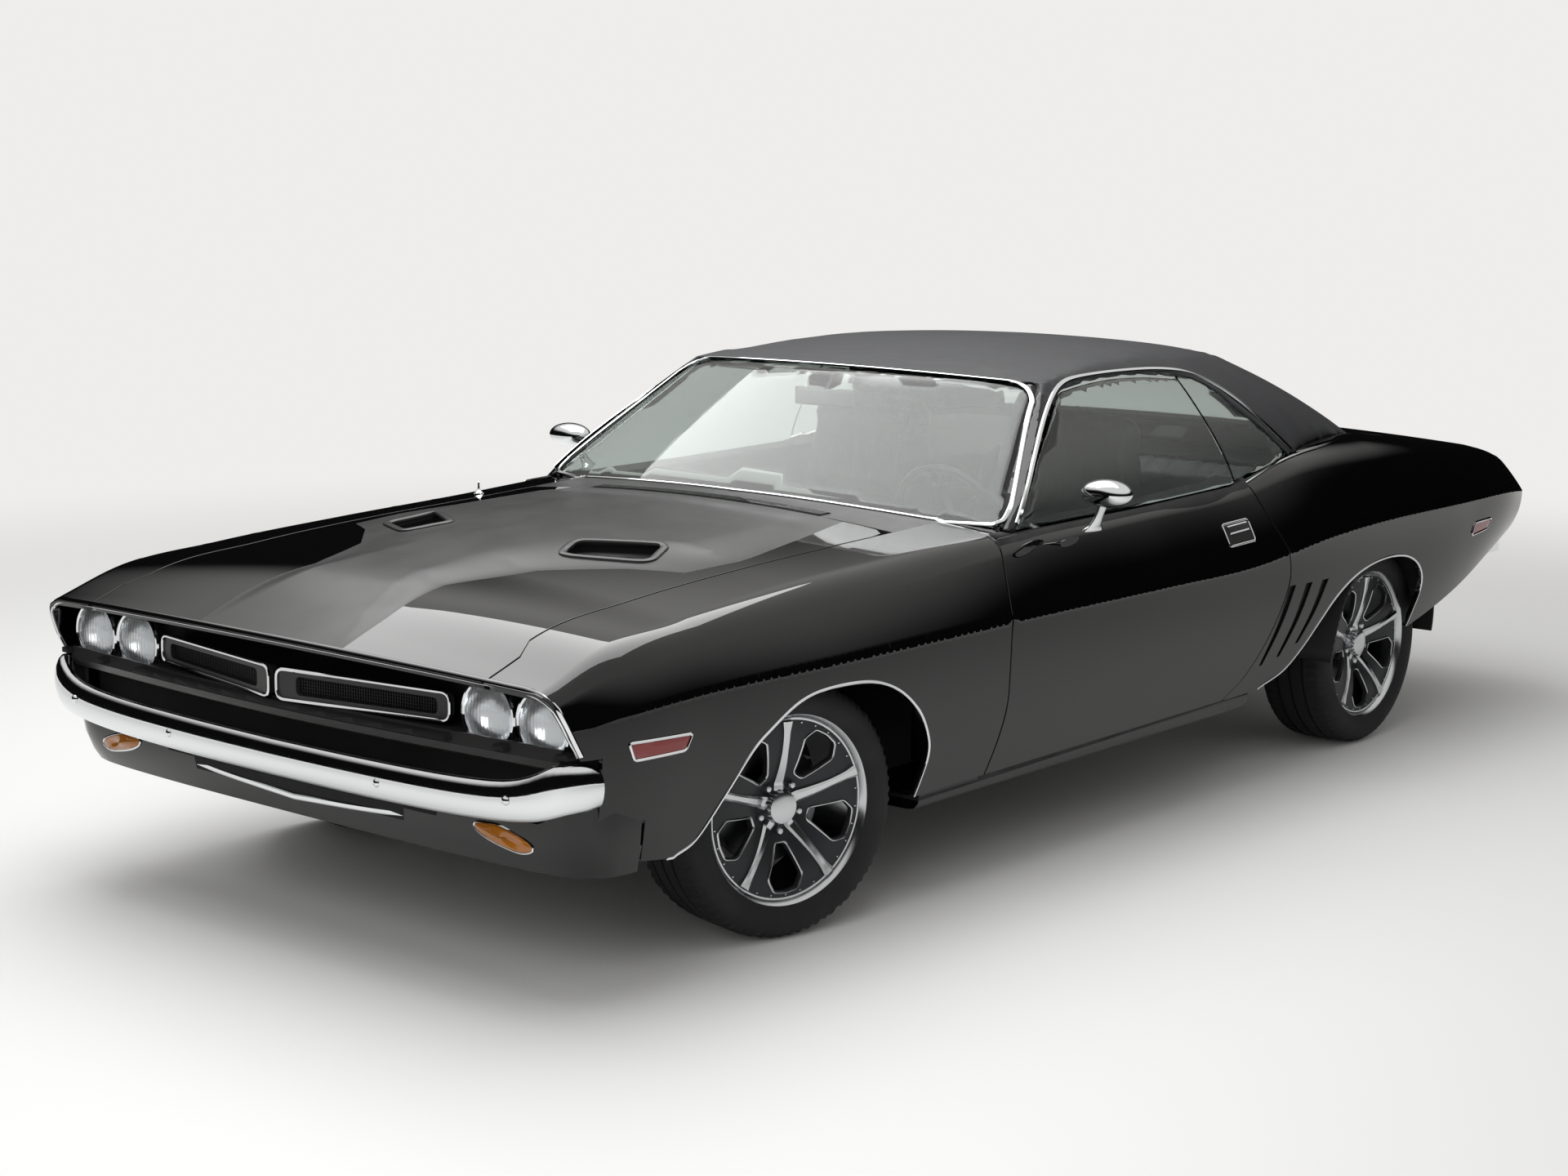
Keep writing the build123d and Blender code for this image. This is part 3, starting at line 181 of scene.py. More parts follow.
@dataclass
class Shape:
    """Mesh data in millimetres before it becomes an object.

    Attributes:
        verts: Corner points.
        faces: Corner numbers of each face, anticlockwise seen from outside.
        normals: One normal per face corner, or None for plain smoothing.
        tints: Material number of each face.
    """

    verts: list = field(default_factory=list)
    faces: list = field(default_factory=list)
    normals: Optional[list] = None
    tints: list = field(default_factory=list)

    def add(self, other: "Shape") -> "Shape":
        """Joins another shape to this one."""
        base = len(self.verts)
        self.verts += list(other.verts)
        self.faces += [tuple(base + i for i in f) for f in other.faces]
        self.tints += list(other.tints) if other.tints else [0] * len(other.faces)
        if other.normals is not None:
            self.normals = (self.normals or []) + list(other.normals)
        return self

    def mirrored(self) -> "Shape":
        """The same shape on the car's other side, still facing outwards."""
        flip = np.array([-1.0, 1.0, 1.0])
        normals, at = None if self.normals is None else [], 0
        for f in self.faces if self.normals is not None else ():
            normals += [flip * n for n in reversed(self.normals[at : at + len(f)])]
            at += len(f)
        return Shape([flip * np.array(v) for v in self.verts], [tuple(reversed(f)) for f in self.faces],
                     normals, list(self.tints))

    def pair(self) -> list[tuple[str, "Shape"]]:
        """The shape and its mirror image, each with the name of its side."""
        return [("left", self), ("right", self.mirrored())]

    def cap(self, first: int, count: int) -> None:
        """Adds one face over a run of points."""
        self.faces.append(tuple(range(first, first + count)))
        self.tints.append(0)

    def moved(self, place: Sequence[float], turn: Matrix = Matrix.Identity(3)) -> "Shape":
        """The shape turned and then moved."""
        m = np.array(turn.to_3x3())
        normals = None if self.normals is None else [m @ np.array(n) for n in self.normals]
        return Shape([m @ np.array(v) + np.array(place) for v in self.verts], list(self.faces), normals,
                     list(self.tints))

    def build(self, name: str, materials: Sequence[bpy.types.Material], sharp: float = 35.0,
              flat: bool = False) -> bpy.types.Object:
        """Makes the object, with its place in its mesh.

        Args:
            name: Name of the piece.
            materials: Materials, in the order that tints number them.
            sharp: Edges that turn by more than this many degrees stay sharp.
            flat: Whether the faces stay unsmoothed.

        Returns:
            The new object at the origin.
        """
        mesh = bpy.data.meshes.new(name)
        verts = (np.array(self.verts, float) + np.array([0, AXLE_SHIFT, 0])) * MM
        mesh.from_pydata([tuple(v) for v in verts], [], self.faces)
        for material in materials:
            mesh.materials.append(material)
        if self.tints:
            mesh.polygons.foreach_set("material_index", np.array(self.tints, np.int32))
        mesh.shade_flat() if flat else mesh.shade_smooth()
        if self.normals is not None:
            mesh.normals_split_custom_set([tuple(n) for n in self.normals])
        elif not flat:
            mesh.set_sharp_from_angle(angle=math.radians(sharp))
        return added(name, mesh)

    def fit(self, name: str, material: bpy.types.Material, slot: str, *nodes: str, body: str = "root",
            sharp: float = 35.0, flat: bool = False) -> None:
        """Makes a piece of one material and fixes it to its body.

        Args:
            name: Name of the piece.
            material: Its finish.
            slot: Name of the piece's slot; not used.
            nodes: CAD nodes that it stands for.
            body: Body that it rides on.
            sharp: As in build.
            flat: As in build.
        """
        settle(self.build(name, [material], sharp, flat), body, slot, *nodes)


def settle(obj: bpy.types.Object, body: str, slot: str, *nodes: str) -> bpy.types.Object:
    """Fixes a finished piece to its body and hides the CAD nodes that it stands for."""
    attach(obj, body)
    if nodes:
        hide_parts(*nodes)
    log.info("%s rides on %s, %d faces", obj.name, body, len(obj.data.polygons))
    return obj


def grid_shape(rows: Array, closed: bool = False, capped: bool = False) -> Shape:
    """Quads between rows of points.

    Args:
        rows: Points as (row, point in row, xyz). Faces look along row direction cross point direction.
        closed: Whether each row's last point joins its first.
        capped: Whether the first and last rows are closed by one face each.

    Returns:
        The shape.
    """
    count, width = rows.shape[:2]
    verts = list(rows.reshape(-1, 3))
    faces = []
    span = width if closed else width - 1
    for i in range(count - 1):
        for j in range(span):
            a, b = i * width + j, i * width + (j + 1) % width
            faces.append((a, a + width, b + width, b))
    if capped:
        faces.append(tuple(range(width)))
        faces.append(tuple(reversed(range((count - 1) * width, count * width))))
    return Shape(verts, faces, None, [0] * len(faces))


def sweep(path: Array, profile: Sequence[Sequence[float]], ups: Array, closed: bool = False,
          scale: Optional[Array] = None) -> Shape:
    """Carries a closed profile along a path.

    Args:
        path: Points of the path.
        profile: Points of the profile as (sideways, up).
        ups: The surface's normal at each point of the path.
        closed: Whether the path is a loop.
        scale: Size of the profile at each point.

    Returns:
        The swept shape.
    """
    along = np.roll(path, -1, axis=0) - np.roll(path, 1, axis=0) if closed else np.gradient(path, axis=0)
    tangents = unit(along)
    ups = unit(ups - tangents * np.sum(ups * tangents, axis=1, keepdims=True))
    sides = np.cross(tangents, ups)
    profile = np.array(profile, float)
    size = np.ones(len(path)) if scale is None else scale
    rows = (path[:, None, :] + size[:, None, None] * (profile[None, :, :1] * sides[:, None, :]
                                                      + profile[None, :, 1:] * ups[:, None, :]))
    if closed:
        rows = np.concatenate([rows, rows[:1]])
    return weld(outward(grid_shape(rows, closed=True, capped=not closed)))


def outward(shape: Shape) -> Shape:
    """Turns a closed shape's faces outwards by its signed volume."""
    v = np.array(shape.verts, float)
    volume = 0.0
    for f in shape.faces:
        for k in range(1, len(f) - 1):
            volume += np.dot(v[f[0]], np.cross(v[f[k]], v[f[k + 1]]))
    if volume < 0:
        shape.faces = [tuple(reversed(f)) for f in shape.faces]
    return shape


def weld(shape: Shape, reach: float = 0.01) -> Shape:
    """Merges points closer than reach, and drops faces that vanish."""
    keys: dict = {}
    remap, verts = [], []
    for v in shape.verts:
        key = tuple(np.round(np.array(v) / reach).astype(int))
        if key not in keys:
            keys[key] = len(verts)
            verts.append(v)
        remap.append(keys[key])
    faces, tints = [], []
    for f, t in zip(shape.faces, shape.tints or [0] * len(shape.faces)):
        g = [remap[i] for i in f]
        g = [i for k, i in enumerate(g) if i != g[k - 1]]
        if len(set(g)) >= 3:
            faces.append(tuple(g))
            tints.append(t)
    return Shape(verts, faces, None, tints)


def lathe(profile: Sequence[Sequence[float]], count: int = 96,
          modulate: Optional[Callable[[Array, Array, Array], Array]] = None) -> Shape:
    """Turns a closed profile about the x axis.

    Args:
        profile: Points as (x, radius).
        count: Steps round the axis.
        modulate: Changes the radii, given x, radius and angle.

    Returns:
        The turned shape, facing outwards.
    """
    p = np.array(profile, float)
    rows = []
    for angle in np.arange(count + 1) * 2 * math.pi / count:
        radius = p[:, 1] if modulate is None else modulate(p[:, 0], p[:, 1], angle % (2 * math.pi))
        rows.append(np.stack([p[:, 0], radius * math.sin(angle), radius * math.cos(angle)], axis=1))
    return outward(weld(grid_shape(np.array(rows), closed=True)))


def bar(profile: Sequence[Sequence[float]], low: float, high: float, axis: int = 0) -> Shape:
    """Straight bar: a closed profile carried along one axis.

    Args:
        profile: Points in the plane of the other two axes, in their order.
        low: Where the bar starts.
        high: Where it ends.
        axis: 0 for x, 1 for y, 2 for z.

    Returns:
        The bar, facing outwards.
    """
    rows = [[np.insert(np.array(p, float), axis, level) for p in profile] for level in (low, high)]
    return outward(grid_shape(np.array(rows), closed=True, capped=True))


# Least distances from an outline to an inner line, and from any line to an inner point, in grid steps
LINE_CLEARANCE = 0.22
POINT_CLEARANCE = 0.4
# Share of the way to a triangle's middle, and step in the parameter plane, at which normals are taken
CORNER_PULL = 0.02
PROBE = 0.8
# Shares of the roll's radius by which its middle point stands out and lies down
BEND_OUT = 0.7
BEND_DOWN = 0.3


def region_shell(surface: Callable[[Array], Array], loops: Sequence[Array], spacing: Sequence[float],
                 thickness: float, roll: float = 1.6, tint: Optional[Callable[[Array], Array]] = None,
                 lines: Sequence[Array] = (), facing: float = 1.0) -> Shape:
    """Closed sheet panel cut out of a surface, with a small rolled edge and true normals.

    Args:
        surface: Maps points of the parameter plane to places.
        loops: Outline first, then holes, in the parameter plane.
        spacing: Distance between inner points along the two parameters.
        thickness: Depth of the sheet's turned-in edge.
        roll: Radius of the rolled edge.
        tint: Gives material numbers for points of the parameter plane.
        lines: Inner lines that triangles may not cross, such as creases.
        facing: 1 where the first parameter cross the second looks outwards, else -1.

    Returns:
        The panel.
    """
    allpts = np.concatenate(loops)
    low, high = allpts.min(0), allpts.max(0)
    a = np.arange(low[0] + spacing[0] / 2, high[0], spacing[0])
    b = np.arange(low[1] + spacing[1] / 2, high[1], spacing[1])
    inner = np.stack(np.meshgrid(a, b), axis=-1).reshape(-1, 2)
    scale = np.array(spacing)
    edges, at = [], 0
    for loop in loops:
        edges += [(at + i, at + (i + 1) % len(loop)) for i in range(len(loop))]
        at += len(loop)
    fixed = [allpts]
    for line in lines:
        keep = inside(line, loops) & (spread(line / scale, allpts / scale) > LINE_CLEARANCE)
        number = np.cumsum(keep) - 1 + at
        edges += [(number[i], number[i + 1]) for i in range(len(line) - 1) if keep[i] and keep[i + 1]]
        fixed.append(line[keep])
        at += int(keep.sum())
    allpts = np.concatenate(fixed)
    inner = inner[inside(inner, loops)]
    inner = inner[spread(inner / scale, allpts / scale) > POINT_CLEARANCE]
    points = np.concatenate([allpts, inner])
    found, _, tris, *_ = delaunay_2d_cdt([Vector(p) for p in points], edges, [], 0, 1e-6)
    plane = np.array([tuple(v) for v in found])
    tris = np.array(tris)
    centre = plane[tris].mean(1)
    tris = tris[inside(centre, loops)]
    centre = plane[tris].mean(1)
    turn = np.cross(plane[tris[:, 1]] - plane[tris[:, 0]], plane[tris[:, 2]] - plane[tris[:, 0]])
    tris[turn * facing < 0] = tris[turn * facing < 0][:, ::-1]
    places = surface(plane)
    flat = (plane[tris] * (1 - CORNER_PULL) + centre[:, None] * CORNER_PULL).reshape(-1, 2)
    da = surface(flat + [PROBE, 0]) - surface(flat - [PROBE, 0])
    db = surface(flat + [0, PROBE]) - surface(flat - [0, PROBE])
    normals = unit(np.cross(da, db) * facing)
    point_normal = np.zeros_like(places)
    np.add.at(point_normal, tris.reshape(-1), normals)
    point_normal = unit(point_normal)
    shape = Shape(list(places), [tuple(t) for t in tris], list(normals), [])
    shape.tints = list(tint(centre)) if tint is not None else [0] * len(tris)
    base = len(shape.verts)
    shape.verts += list(places - point_normal * thickness)
    for t, number in zip(tris, shape.tints[: len(tris)]):
        shape.faces.append(tuple(base + i for i in reversed(t)))
        shape.normals += [-point_normal[i] for i in reversed(t)]
        shape.tints.append(number)
    edge_tint = {}
    for t, number in zip(tris, shape.tints[: len(tris)]):
        for i, j in ((t[0], t[1]), (t[1], t[2]), (t[2], t[0])):
            edge_tint[(i, j)] = number
    border = {i: j for (i, j) in edge_tint if (j, i) not in edge_tint}
    back = {j: i for i, j in border.items()}
    under = {}
    for i in border:
        if i not in back:
            continue
        n = point_normal[i]
        out = unit(np.cross(unit(places[border[i]] - places[back[i]]), n))
        under[i] = (len(shape.verts), out, n, unit(n * BEND_OUT + out * BEND_OUT))
        shape.verts += [places[i] + out * roll * BEND_OUT - n * roll * BEND_DOWN,
                        places[i] + out * roll - n * roll, places[i] + out * roll - n * thickness]
    for i, j in border.items():
        if i not in under or j not in under:
            continue
        (a0, oi, ni, bi), (b0, oj, nj, bj) = under[i], under[j]
        strips = [((i, ni), (j, nj), (b0, bj), (a0, bi)),
                  ((a0, bi), (b0, bj), (b0 + 1, oj), (a0 + 1, oi)),
                  ((a0 + 1, oi), (b0 + 1, oj), (b0 + 2, oj), (a0 + 2, oi)),
                  ((a0 + 2, -ni), (b0 + 2, -nj), (base + j, -nj), (base + i, -ni))]
        for quad in strips:
            shape.faces.append(tuple(q[0] for q in reversed(quad)))
            shape.normals += [q[1] for q in reversed(quad)]
            shape.tints.append(edge_tint[(i, j)])
    return shape


class Node:
    """A CAD node's surface in millimetres, for snapping trims to it.

    Attributes:
        tree: Search tree over the node's faces.
    """

    RAY_START = 400

    def __init__(self, *names: str) -> None:
        """Gathers the faces of one or more nodes.

        Args:
            names: CAD nodes.
        """
        verts, faces = [], []
        for name in names:
            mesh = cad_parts[name].data
            base = len(verts)
            verts += [Vector((v.co.x / MM, v.co.y / MM - AXLE_SHIFT, v.co.z / MM)) for v in mesh.vertices]
            faces += [[base + i for i in p.vertices] for p in mesh.polygons]
        self.tree = BVHTree.FromPolygons(verts, faces)

    def snap(self, points: Array, aim: Sequence[float], along: bool = False) -> tuple[Array, Array]:
        """Places on the node's surface, with normals turned towards aim.

        Args:
            points: Points near the surface.
            aim: Rough outward direction.
            along: Whether a ray from outside, against aim, finds the place. One that misses takes
                the nearest place, as all points do otherwise.

        Returns:
            The places and their normals.
        """
        out = unit(np.array(aim, float))
        places, normals = [], []
        for p in points:
            place = None
            if along:
                start = Vector(p) + Vector(out * self.RAY_START)
                place, normal, _, _ = self.tree.ray_cast(start, Vector(-out))
            if place is None:
                place, normal, _, _ = self.tree.find_nearest(Vector(p))
            n = np.array(normal)
            normals.append(n if n @ out >= 0 else -n)
            places.append(np.array(place))
        return np.array(places), np.array(normals)


# Body sections: y, then sill x inward, sill z above SILL_Z, crease x inward, crease z above CREASE_Z,
# shoulder x inward, shoulder z above BELT_Z, crown rise above the shoulder, shoulder fillet length.
STATIONS = [
    (-960, 115, 130, 75, -48, 92, -170, 28, 26),
    (-850, 85, 95, 50, -40, 76, -136, 40, 30),
    (-700, 50, 55, 22, -18, 79, -85, 42, 38),
    (-400, 35, 20, 10, -2, 84, -54, 50, 46),
    (0, 30, 0, 4, 0, 101, -29, 54, 52),
    (400, 33, -5, 4, 0, 104, -14, 54, 52),
    (850, 35, -8, 4, 0, 97, 4, 50, 44),
    (1450, 35, 0, 4, -1, 107, 8, 50, 36),
    (1950, 35, 10, 3, 2, 113, 20, 45, 40),
    (2326, 30, 20, 0, 40, 115, 78, 22, 58),
    (2800, 32, 50, 3, 58, 120, 86, 14, 66),
    (3300, 45, 150, 10, 52, 127, 33, 28, 50),
    (3650, 85, 240, 30, 40, 150, -12, 28, 40),
    (3990, 145, 310, 115, 0, 185, -90, 20, 34),
]


class BodySurface:
    """The lower body's outer skin as one smooth surface with a crisp side crease.

    The first parameter u runs round the section from the sill (0) by the crease (400) and the
    shoulder (590 to 640) to the car's middle (1500). The second is y.
    """

    LEVELS = [0.0, 400.0, 590.0, 640.0, 1500.0]
    ACROSS = (560.0, 2420.0)
    HALVINGS = 40
    BULGE_LOW = 9.0
    BULGE_HIGH = 5.0
    # Share of its slope that a section value keeps where it turns back
    CALM = 0.35
    # Greatest share of a side that the shoulder's fillet takes, and how much longer it is on the top
    MOST_FILLET = 0.45
    TOP_FILLET = 1.25

    def __init__(self) -> None:
        """Prepares the smooth run of each section value along the car."""
        self.table = np.array(STATIONS, float)
        y = self.table[:, 0]
        values = self.table[:, 1:]
        slopes = np.gradient(values, y, axis=0)
        flat = (values[1:-1] - values[:-2]) * (values[2:] - values[1:-1]) <= 0
        slopes[1:-1][flat] *= self.CALM
        self.y, self.values, self.slopes = y, values, slopes

    def section(self, y: Array) -> Array:
        """Section values at each y, by cubic runs between the stations."""
        y = np.clip(y, self.y[0], self.y[-1])
        k = np.clip(np.searchsorted(self.y, y) - 1, 0, len(self.y) - 2)
        h = (self.y[k + 1] - self.y[k])[:, None]
        s = ((y - self.y[k])[:, None]) / h
        a, b = self.values[k], self.values[k + 1]
        ma, mb = self.slopes[k] * h, self.slopes[k + 1] * h
        return ((2 * s**3 - 3 * s**2 + 1) * a + (s**3 - 2 * s**2 + s) * ma
                + (-2 * s**3 + 3 * s**2) * b + (s**3 - s**2) * mb)

    def __call__(self, plane: Array) -> Array:
        """Places of parameter points.

        Args:
            plane: Points as (u, y).

        Returns:
            Places as (x, y, z), on the car's left.
        """
        u, y = plane[:, 0], plane[:, 1]
        sill_in, sill_up, crease_in, crease_up, shoulder_in, shoulder_up, crown, soft = self.section(y).T
        t = np.interp(u, self.LEVELS, [0, 1, 2, 3, 4])
        t = np.where(u > self.LEVELS[-1], 4 + (u - self.LEVELS[-1]) / (self.LEVELS[-1] - self.LEVELS[-2]), t)
        sill = np.stack([HALF_WIDTH - sill_in, SILL_Z + sill_up], 1)
        crease = np.stack([HALF_WIDTH - crease_in, CREASE_Z + crease_up], 1)
        shoulder = np.stack([HALF_WIDTH - shoulder_in, BELT_Z + shoulder_up], 1)
        cut_side = (soft / np.linalg.norm(crease - shoulder, axis=1)).clip(0, self.MOST_FILLET)
        cut_top = (soft * self.TOP_FILLET / shoulder[:, 0]).clip(0, self.MOST_FILLET)

        def low(s: Array) -> Array:
            """Between sill and crease."""
            p = sill + (crease - sill) * s[:, None]
            p[:, 0] += self.BULGE_LOW * 4 * s * (1 - s)
            return p

        def high(s: Array) -> Array:
            """Between crease and shoulder."""
            p = crease + (shoulder - crease) * s[:, None]
            p[:, 0] += self.BULGE_HIGH * 4 * s * (1 - s)
            return p

        def lid(s: Array) -> Array:
            """Between shoulder and the car's middle."""
            x = shoulder[:, 0] * (1 - s)
            z = shoulder[:, 1] + crown * (1 - (1 - s) ** 2)
            return np.stack([x, z], 1)

        out = low(np.clip(t, 0, 1))
        up = high(np.clip(t - 1, 0, 1) * (1 - cut_side))
        out = np.where((t > 1)[:, None], up, out)
        s = np.clip(t - 2, 0, 1)[:, None]
        bend = (1 - s) ** 2 * high(1 - cut_side) + 2 * s * (1 - s) * shoulder + s**2 * lid(cut_top)
        out = np.where((t > 2)[:, None], bend, out)
        across = cut_top + (t - 3) * (1 - cut_top)
        out = np.where((t > 3)[:, None], lid(across), out)
        return np.stack([out[:, 0], y, out[:, 1]], 1)

    def find(self, y: Array, target: Array, axis: int, low: float, high: float) -> Array:
        """Parameter u at which the surface reaches a height or a width.

        Args:
            y: Where along the car.
            target: Height z (axis 2) or width x (axis 0).
            axis: Which coordinate the target is.
            low: Least u.
            high: Greatest u.

        Returns:
            The u values.
        """
        y, target = np.asarray(y, float), np.asarray(target, float)
        a, b = np.full(len(y), low, float), np.full(len(y), high, float)
        rising = 1.0 if axis == 2 else -1.0
        for _ in range(self.HALVINGS):
            mid = (a + b) / 2
            value = self(np.stack([mid, y], 1))[:, axis]
            more = (target - value) * rising > 0
            a, b = np.where(more, mid, a), np.where(more, b, mid)
        return (a + b) / 2

    def by_height(self, path: Array) -> Array:
        """Side outline as (y, z) turned into parameter points."""
        return np.stack([self.find(path[:, 0], path[:, 1], 2, self.LEVELS[0], self.LEVELS[3]), path[:, 0]], 1)

    def by_width(self, path: Array) -> Array:
        """Plan outline as (x, y) turned into parameter points."""
        return np.stack([self.find(path[:, 1], path[:, 0], 0, *self.ACROSS), path[:, 1]], 1)

    def place(self, path: Array) -> tuple[Array, Array]:
        """Places and outward normals of parameter points."""
        step = 1.0
        du = self(path + [step, 0]) - self(path - [step, 0])
        dy = self(path + [0, step]) - self(path - [0, step])
        return self(path), unit(np.cross(dy, du))


BODY = BodySurface()
# Lines along the car that no triangle crosses: the crease, and four along the shoulder's fillet
GUIDE_Y = np.linspace(-900, 3860, 190)
GUIDES = [np.stack([np.full(len(GUIDE_Y), u), GUIDE_Y], 1) for u in (400.0, 590.0, 606.0, 624.0, 640.0)]


def offset(distance: float) -> Callable[[Array], Array]:
    """The body surface moved outwards by a distance.

    Args:
        distance: How far, less than nothing for inwards.

    Returns:
        Function from parameter points to places.
    """
    def surface(plane: Array) -> Array:
        """Places of parameter points on the moved surface."""
        places, normals = BODY.place(plane)
        return places + normals * distance

    return surface


def plate(loop: Array, distance: float, spacing: float, thickness: float) -> Shape:
    """Thin plate that follows the body surface inside a loop, at a distance from it."""
    shape = region_shell(offset(distance), [loop], (spacing, spacing), thickness, facing=-1.0)
    shape.normals = None
    return shape


# Side outlines in (y, z)
DOOR_FRONT = [(775, 886), (748, 826), (727, 770), (709, 705), (703, 640), (702, 560), (700, 470), (672, 380),
              (633, 298)]
DOOR_REAR = [(2032, 916), (2044, 858), (2062, 800), (2088, 738), (2108, 680), (2114, 624), (2088, 560),
             (2032, 476), (1962, 400), (1890, 345), (1800, 302)]
FRONT_ARCH = [(-560, 290), (-542, 322), (-475, 350), (-388, 440), (-310, 522), (-251, 563), (-142, 616),
              (-30, 631), (121, 622), (229, 586), (317, 519), (363, 446), (370, 395), (350, 340), (330, 296)]
REAR_ARCH = [(2000, 304), (2023, 311), (2135, 340), (2225, 394), (2314, 462), (2405, 527), (2500, 573),
             (2597, 600), (2698, 612), (2802, 611), (2889, 595), (2956, 561), (2990, 516), (2988, 470),
             (2962, 420), (2930, 366)]


def nose_y(x: Array) -> Array:
    """Front edge of the body in plan."""
    return -FRONT_REACH + 75 * (np.abs(x) / 1200) ** 2


def raised(y: Array) -> tuple[Array, Array, Array]:
    """Raised centre of the hood: half width of its foot, half width of its top, and its rise."""
    stations = [-940, -773, -570, -349, -200, -129, 49, 114, 350, 485, 600]
    foot = np.interp(y, stations, [256, 256, 232, 316, 470, 590, 606, 598, 548, 519, 492])
    top = np.interp(y, stations, [250, 182, 120, 110, 150, 176, 426, 430, 424, 414, 398])
    fade = np.clip((y - 400) / 180, 0, 1)
    rise = 18.0 * np.clip((y + 900) / 260, 0, 1) ** 1.5 * (1 - 0.92 * fade * fade * (3 - 2 * fade))
    return foot, top, rise


def lifted(plane: Array) -> Array:
    """The body surface with the hood's raised centre added."""
    out = BODY(plane)
    foot, top, rise = raised(out[:, 1])
    s = np.clip((foot - np.abs(out[:, 0])) / np.maximum(foot - top, 12.0), 0, 1)
    s = s * s * (3 - 2 * s)
    ahead = (out[:, 1] < 592) & (np.abs(out[:, 0]) < 640)
    out[:, 2] += np.where(ahead, rise * s, 0.0)
    return out


class Paint(Enum):
    """Material numbers on the hood."""

    GLOSS = 0
    SATIN = 1


def satin_zone(plane: Array) -> Array:
    """Material numbers of the hood: satin on the raised centre and the nose's middle."""
    places = BODY(plane)
    foot, _, _ = raised(places[:, 1])
    return np.where(np.abs(places[:, 0]) < foot, Paint.SATIN.value, Paint.GLOSS.value)


@dataclass
class Panels:
    """Painted sheet panels of the lower body.

    Attributes:
        spacing: Distance between inner points round the section and along the car.
        depth: Depth of the turned-in edges.
    """

    spacing: tuple[float, float] = (26.0, 30.0)
    depth: float = 14.0

    def shell(self, loops: Sequence[Array], surface: Callable = BODY, tint: Optional[Callable] = None,
              lines: Sequence[Array] = ()) -> Shape:
        """Cuts one panel from the body surface."""
        return region_shell(surface, loops, self.spacing, self.depth, lines=lines or GUIDES, tint=tint,
                            facing=-1.0)

    def fender_loop(self) -> Array:
        """Outline of the left front fender in parameter space."""
        tongue = BODY.by_width(polyline([(846, 806), (846, 872), (655, 872), (655, 610)], 24))
        seam = [(655, 585), (652, 380), (657, 0), (664, -500), (674, -730), (706, -790), (706, nose_y(706))]
        seam = BODY.by_width(polyline(seam, 26))
        x = np.array([740.0, 780.0, 820.0, 850.0])
        nose = BODY.by_width(np.stack([x, nose_y(x)], 1))
        front = [(-884, 722), (-876, 700), (-850, 640), (-822, 590), (-766, 588), (-766, 430), (-640, 430),
                 (-640, 300)]
        front = BODY.by_height(polyline(front, 14))
        arch = BODY.by_height(catmull(FRONT_ARCH, 9))
        rear = BODY.by_height(catmull(DOOR_FRONT, 14)[::-1] - [SHUT_GAP, 0])
        return np.concatenate([tongue, seam, nose, front, arch, rear])

    def door_loop(self) -> Array:
        """Outline of the left door in parameter space."""
        belt = BODY.by_width(polyline([(852, 790), (850, 874), (846, 1200), (842, 1700), (838, 2026)], 30))
        rear = BODY.by_height(catmull(DOOR_REAR, 14))
        sill = BODY.by_height(polyline([(1800, 302), (633, 298)], 30))[1:-1]
        front = BODY.by_height(catmull(DOOR_FRONT, 14)[::-1])
        return np.concatenate([belt, rear, sill, front])

    def quarter_loop(self) -> Array:
        """Outline of the left rear quarter in parameter space."""
        front = BODY.by_height(catmull(DOOR_REAR, 14)[::-1] + [SHUT_GAP, 0])
        top = [(838, 2039), (826, 2200), (800, 2360), (720, 2500), (697, 2620), (697, 3100), (697, 3790)]
        top = BODY.by_width(polyline(top, 26))
        rear = BODY.by_height(polyline([(3797, 852), (3830, 750), (3862, 640), (3862, 585)], 16))
        foot = np.stack([np.zeros(30), np.linspace(3850, 2945, 30)], 1)
        arch = BODY.by_height(catmull(REAR_ARCH, 9)[::-1])
        sill = BODY.by_height(polyline([(1990, 303), (1800 + SHUT_GAP, 300)], 20))[:-1]
        return np.concatenate([front, top, rear, foot, arch, sill])

    def gill_loops(self) -> list[Array]:
        """Outlines of the three slanted slots ahead of the rear wheel."""
        out = []
        for top_y, top_z, foot_y, foot_z in GILLS:
            bend = ((top_y + foot_y) / 2 + 12, (top_z + foot_z) / 2)
            line = catmull([(top_y, top_z), bend, (foot_y, foot_z)], 14)
            half = np.linspace(21, 9, len(line))[:, None] * [1.0, 0.0]
            out.append(BODY.by_height(rounded(np.concatenate([line - half, (line + half)[::-1]]), 5, 14)))
        return out

    def hood_loop(self) -> Array:
        """Outline of the hood in parameter space."""
        half = [(699, nose_y(699) + 1), (699, -786), (667, -724), (657, -500), (650, 0), (645, 380),
                (648, 520), (640, 560), (610, 584), (560, 588), (280, 588)]
        return self.across(half, nose_y)

    def across(self, half: Sequence[Sequence[float]], front: Optional[Callable] = None) -> Array:
        """Closed loop in parameter space from its left half in plan, front to rear."""
        left = polyline(half, 22)
        right = left[::-1] * [-1, 1]
        pieces = [left, polyline([left[-1], right[0]], 26)[1:-1], right]
        if front is not None:
            x = np.linspace(right[-1][0], left[0][0], 54)[1:-1]
            pieces.append(np.stack([x, front(x) + 1], 1))
        else:
            pieces.append(polyline([right[-1], left[0]], 26)[1:-1])
        return BODY.by_width(np.concatenate(pieces))

    def scoop_loop(self, side: int) -> Array:
        """Outline of one scoop's opening in plan, inside the outer edge of its ring."""
        corners = np.array([(262, -262), (196, -122), (430, 28), (500, -132)], float)
        middle = corners.mean(0)
        shrunk = middle + (corners - middle) * (1 - 26 / 150)
        return rounded(shrunk, 34, 12) * [side, 1]


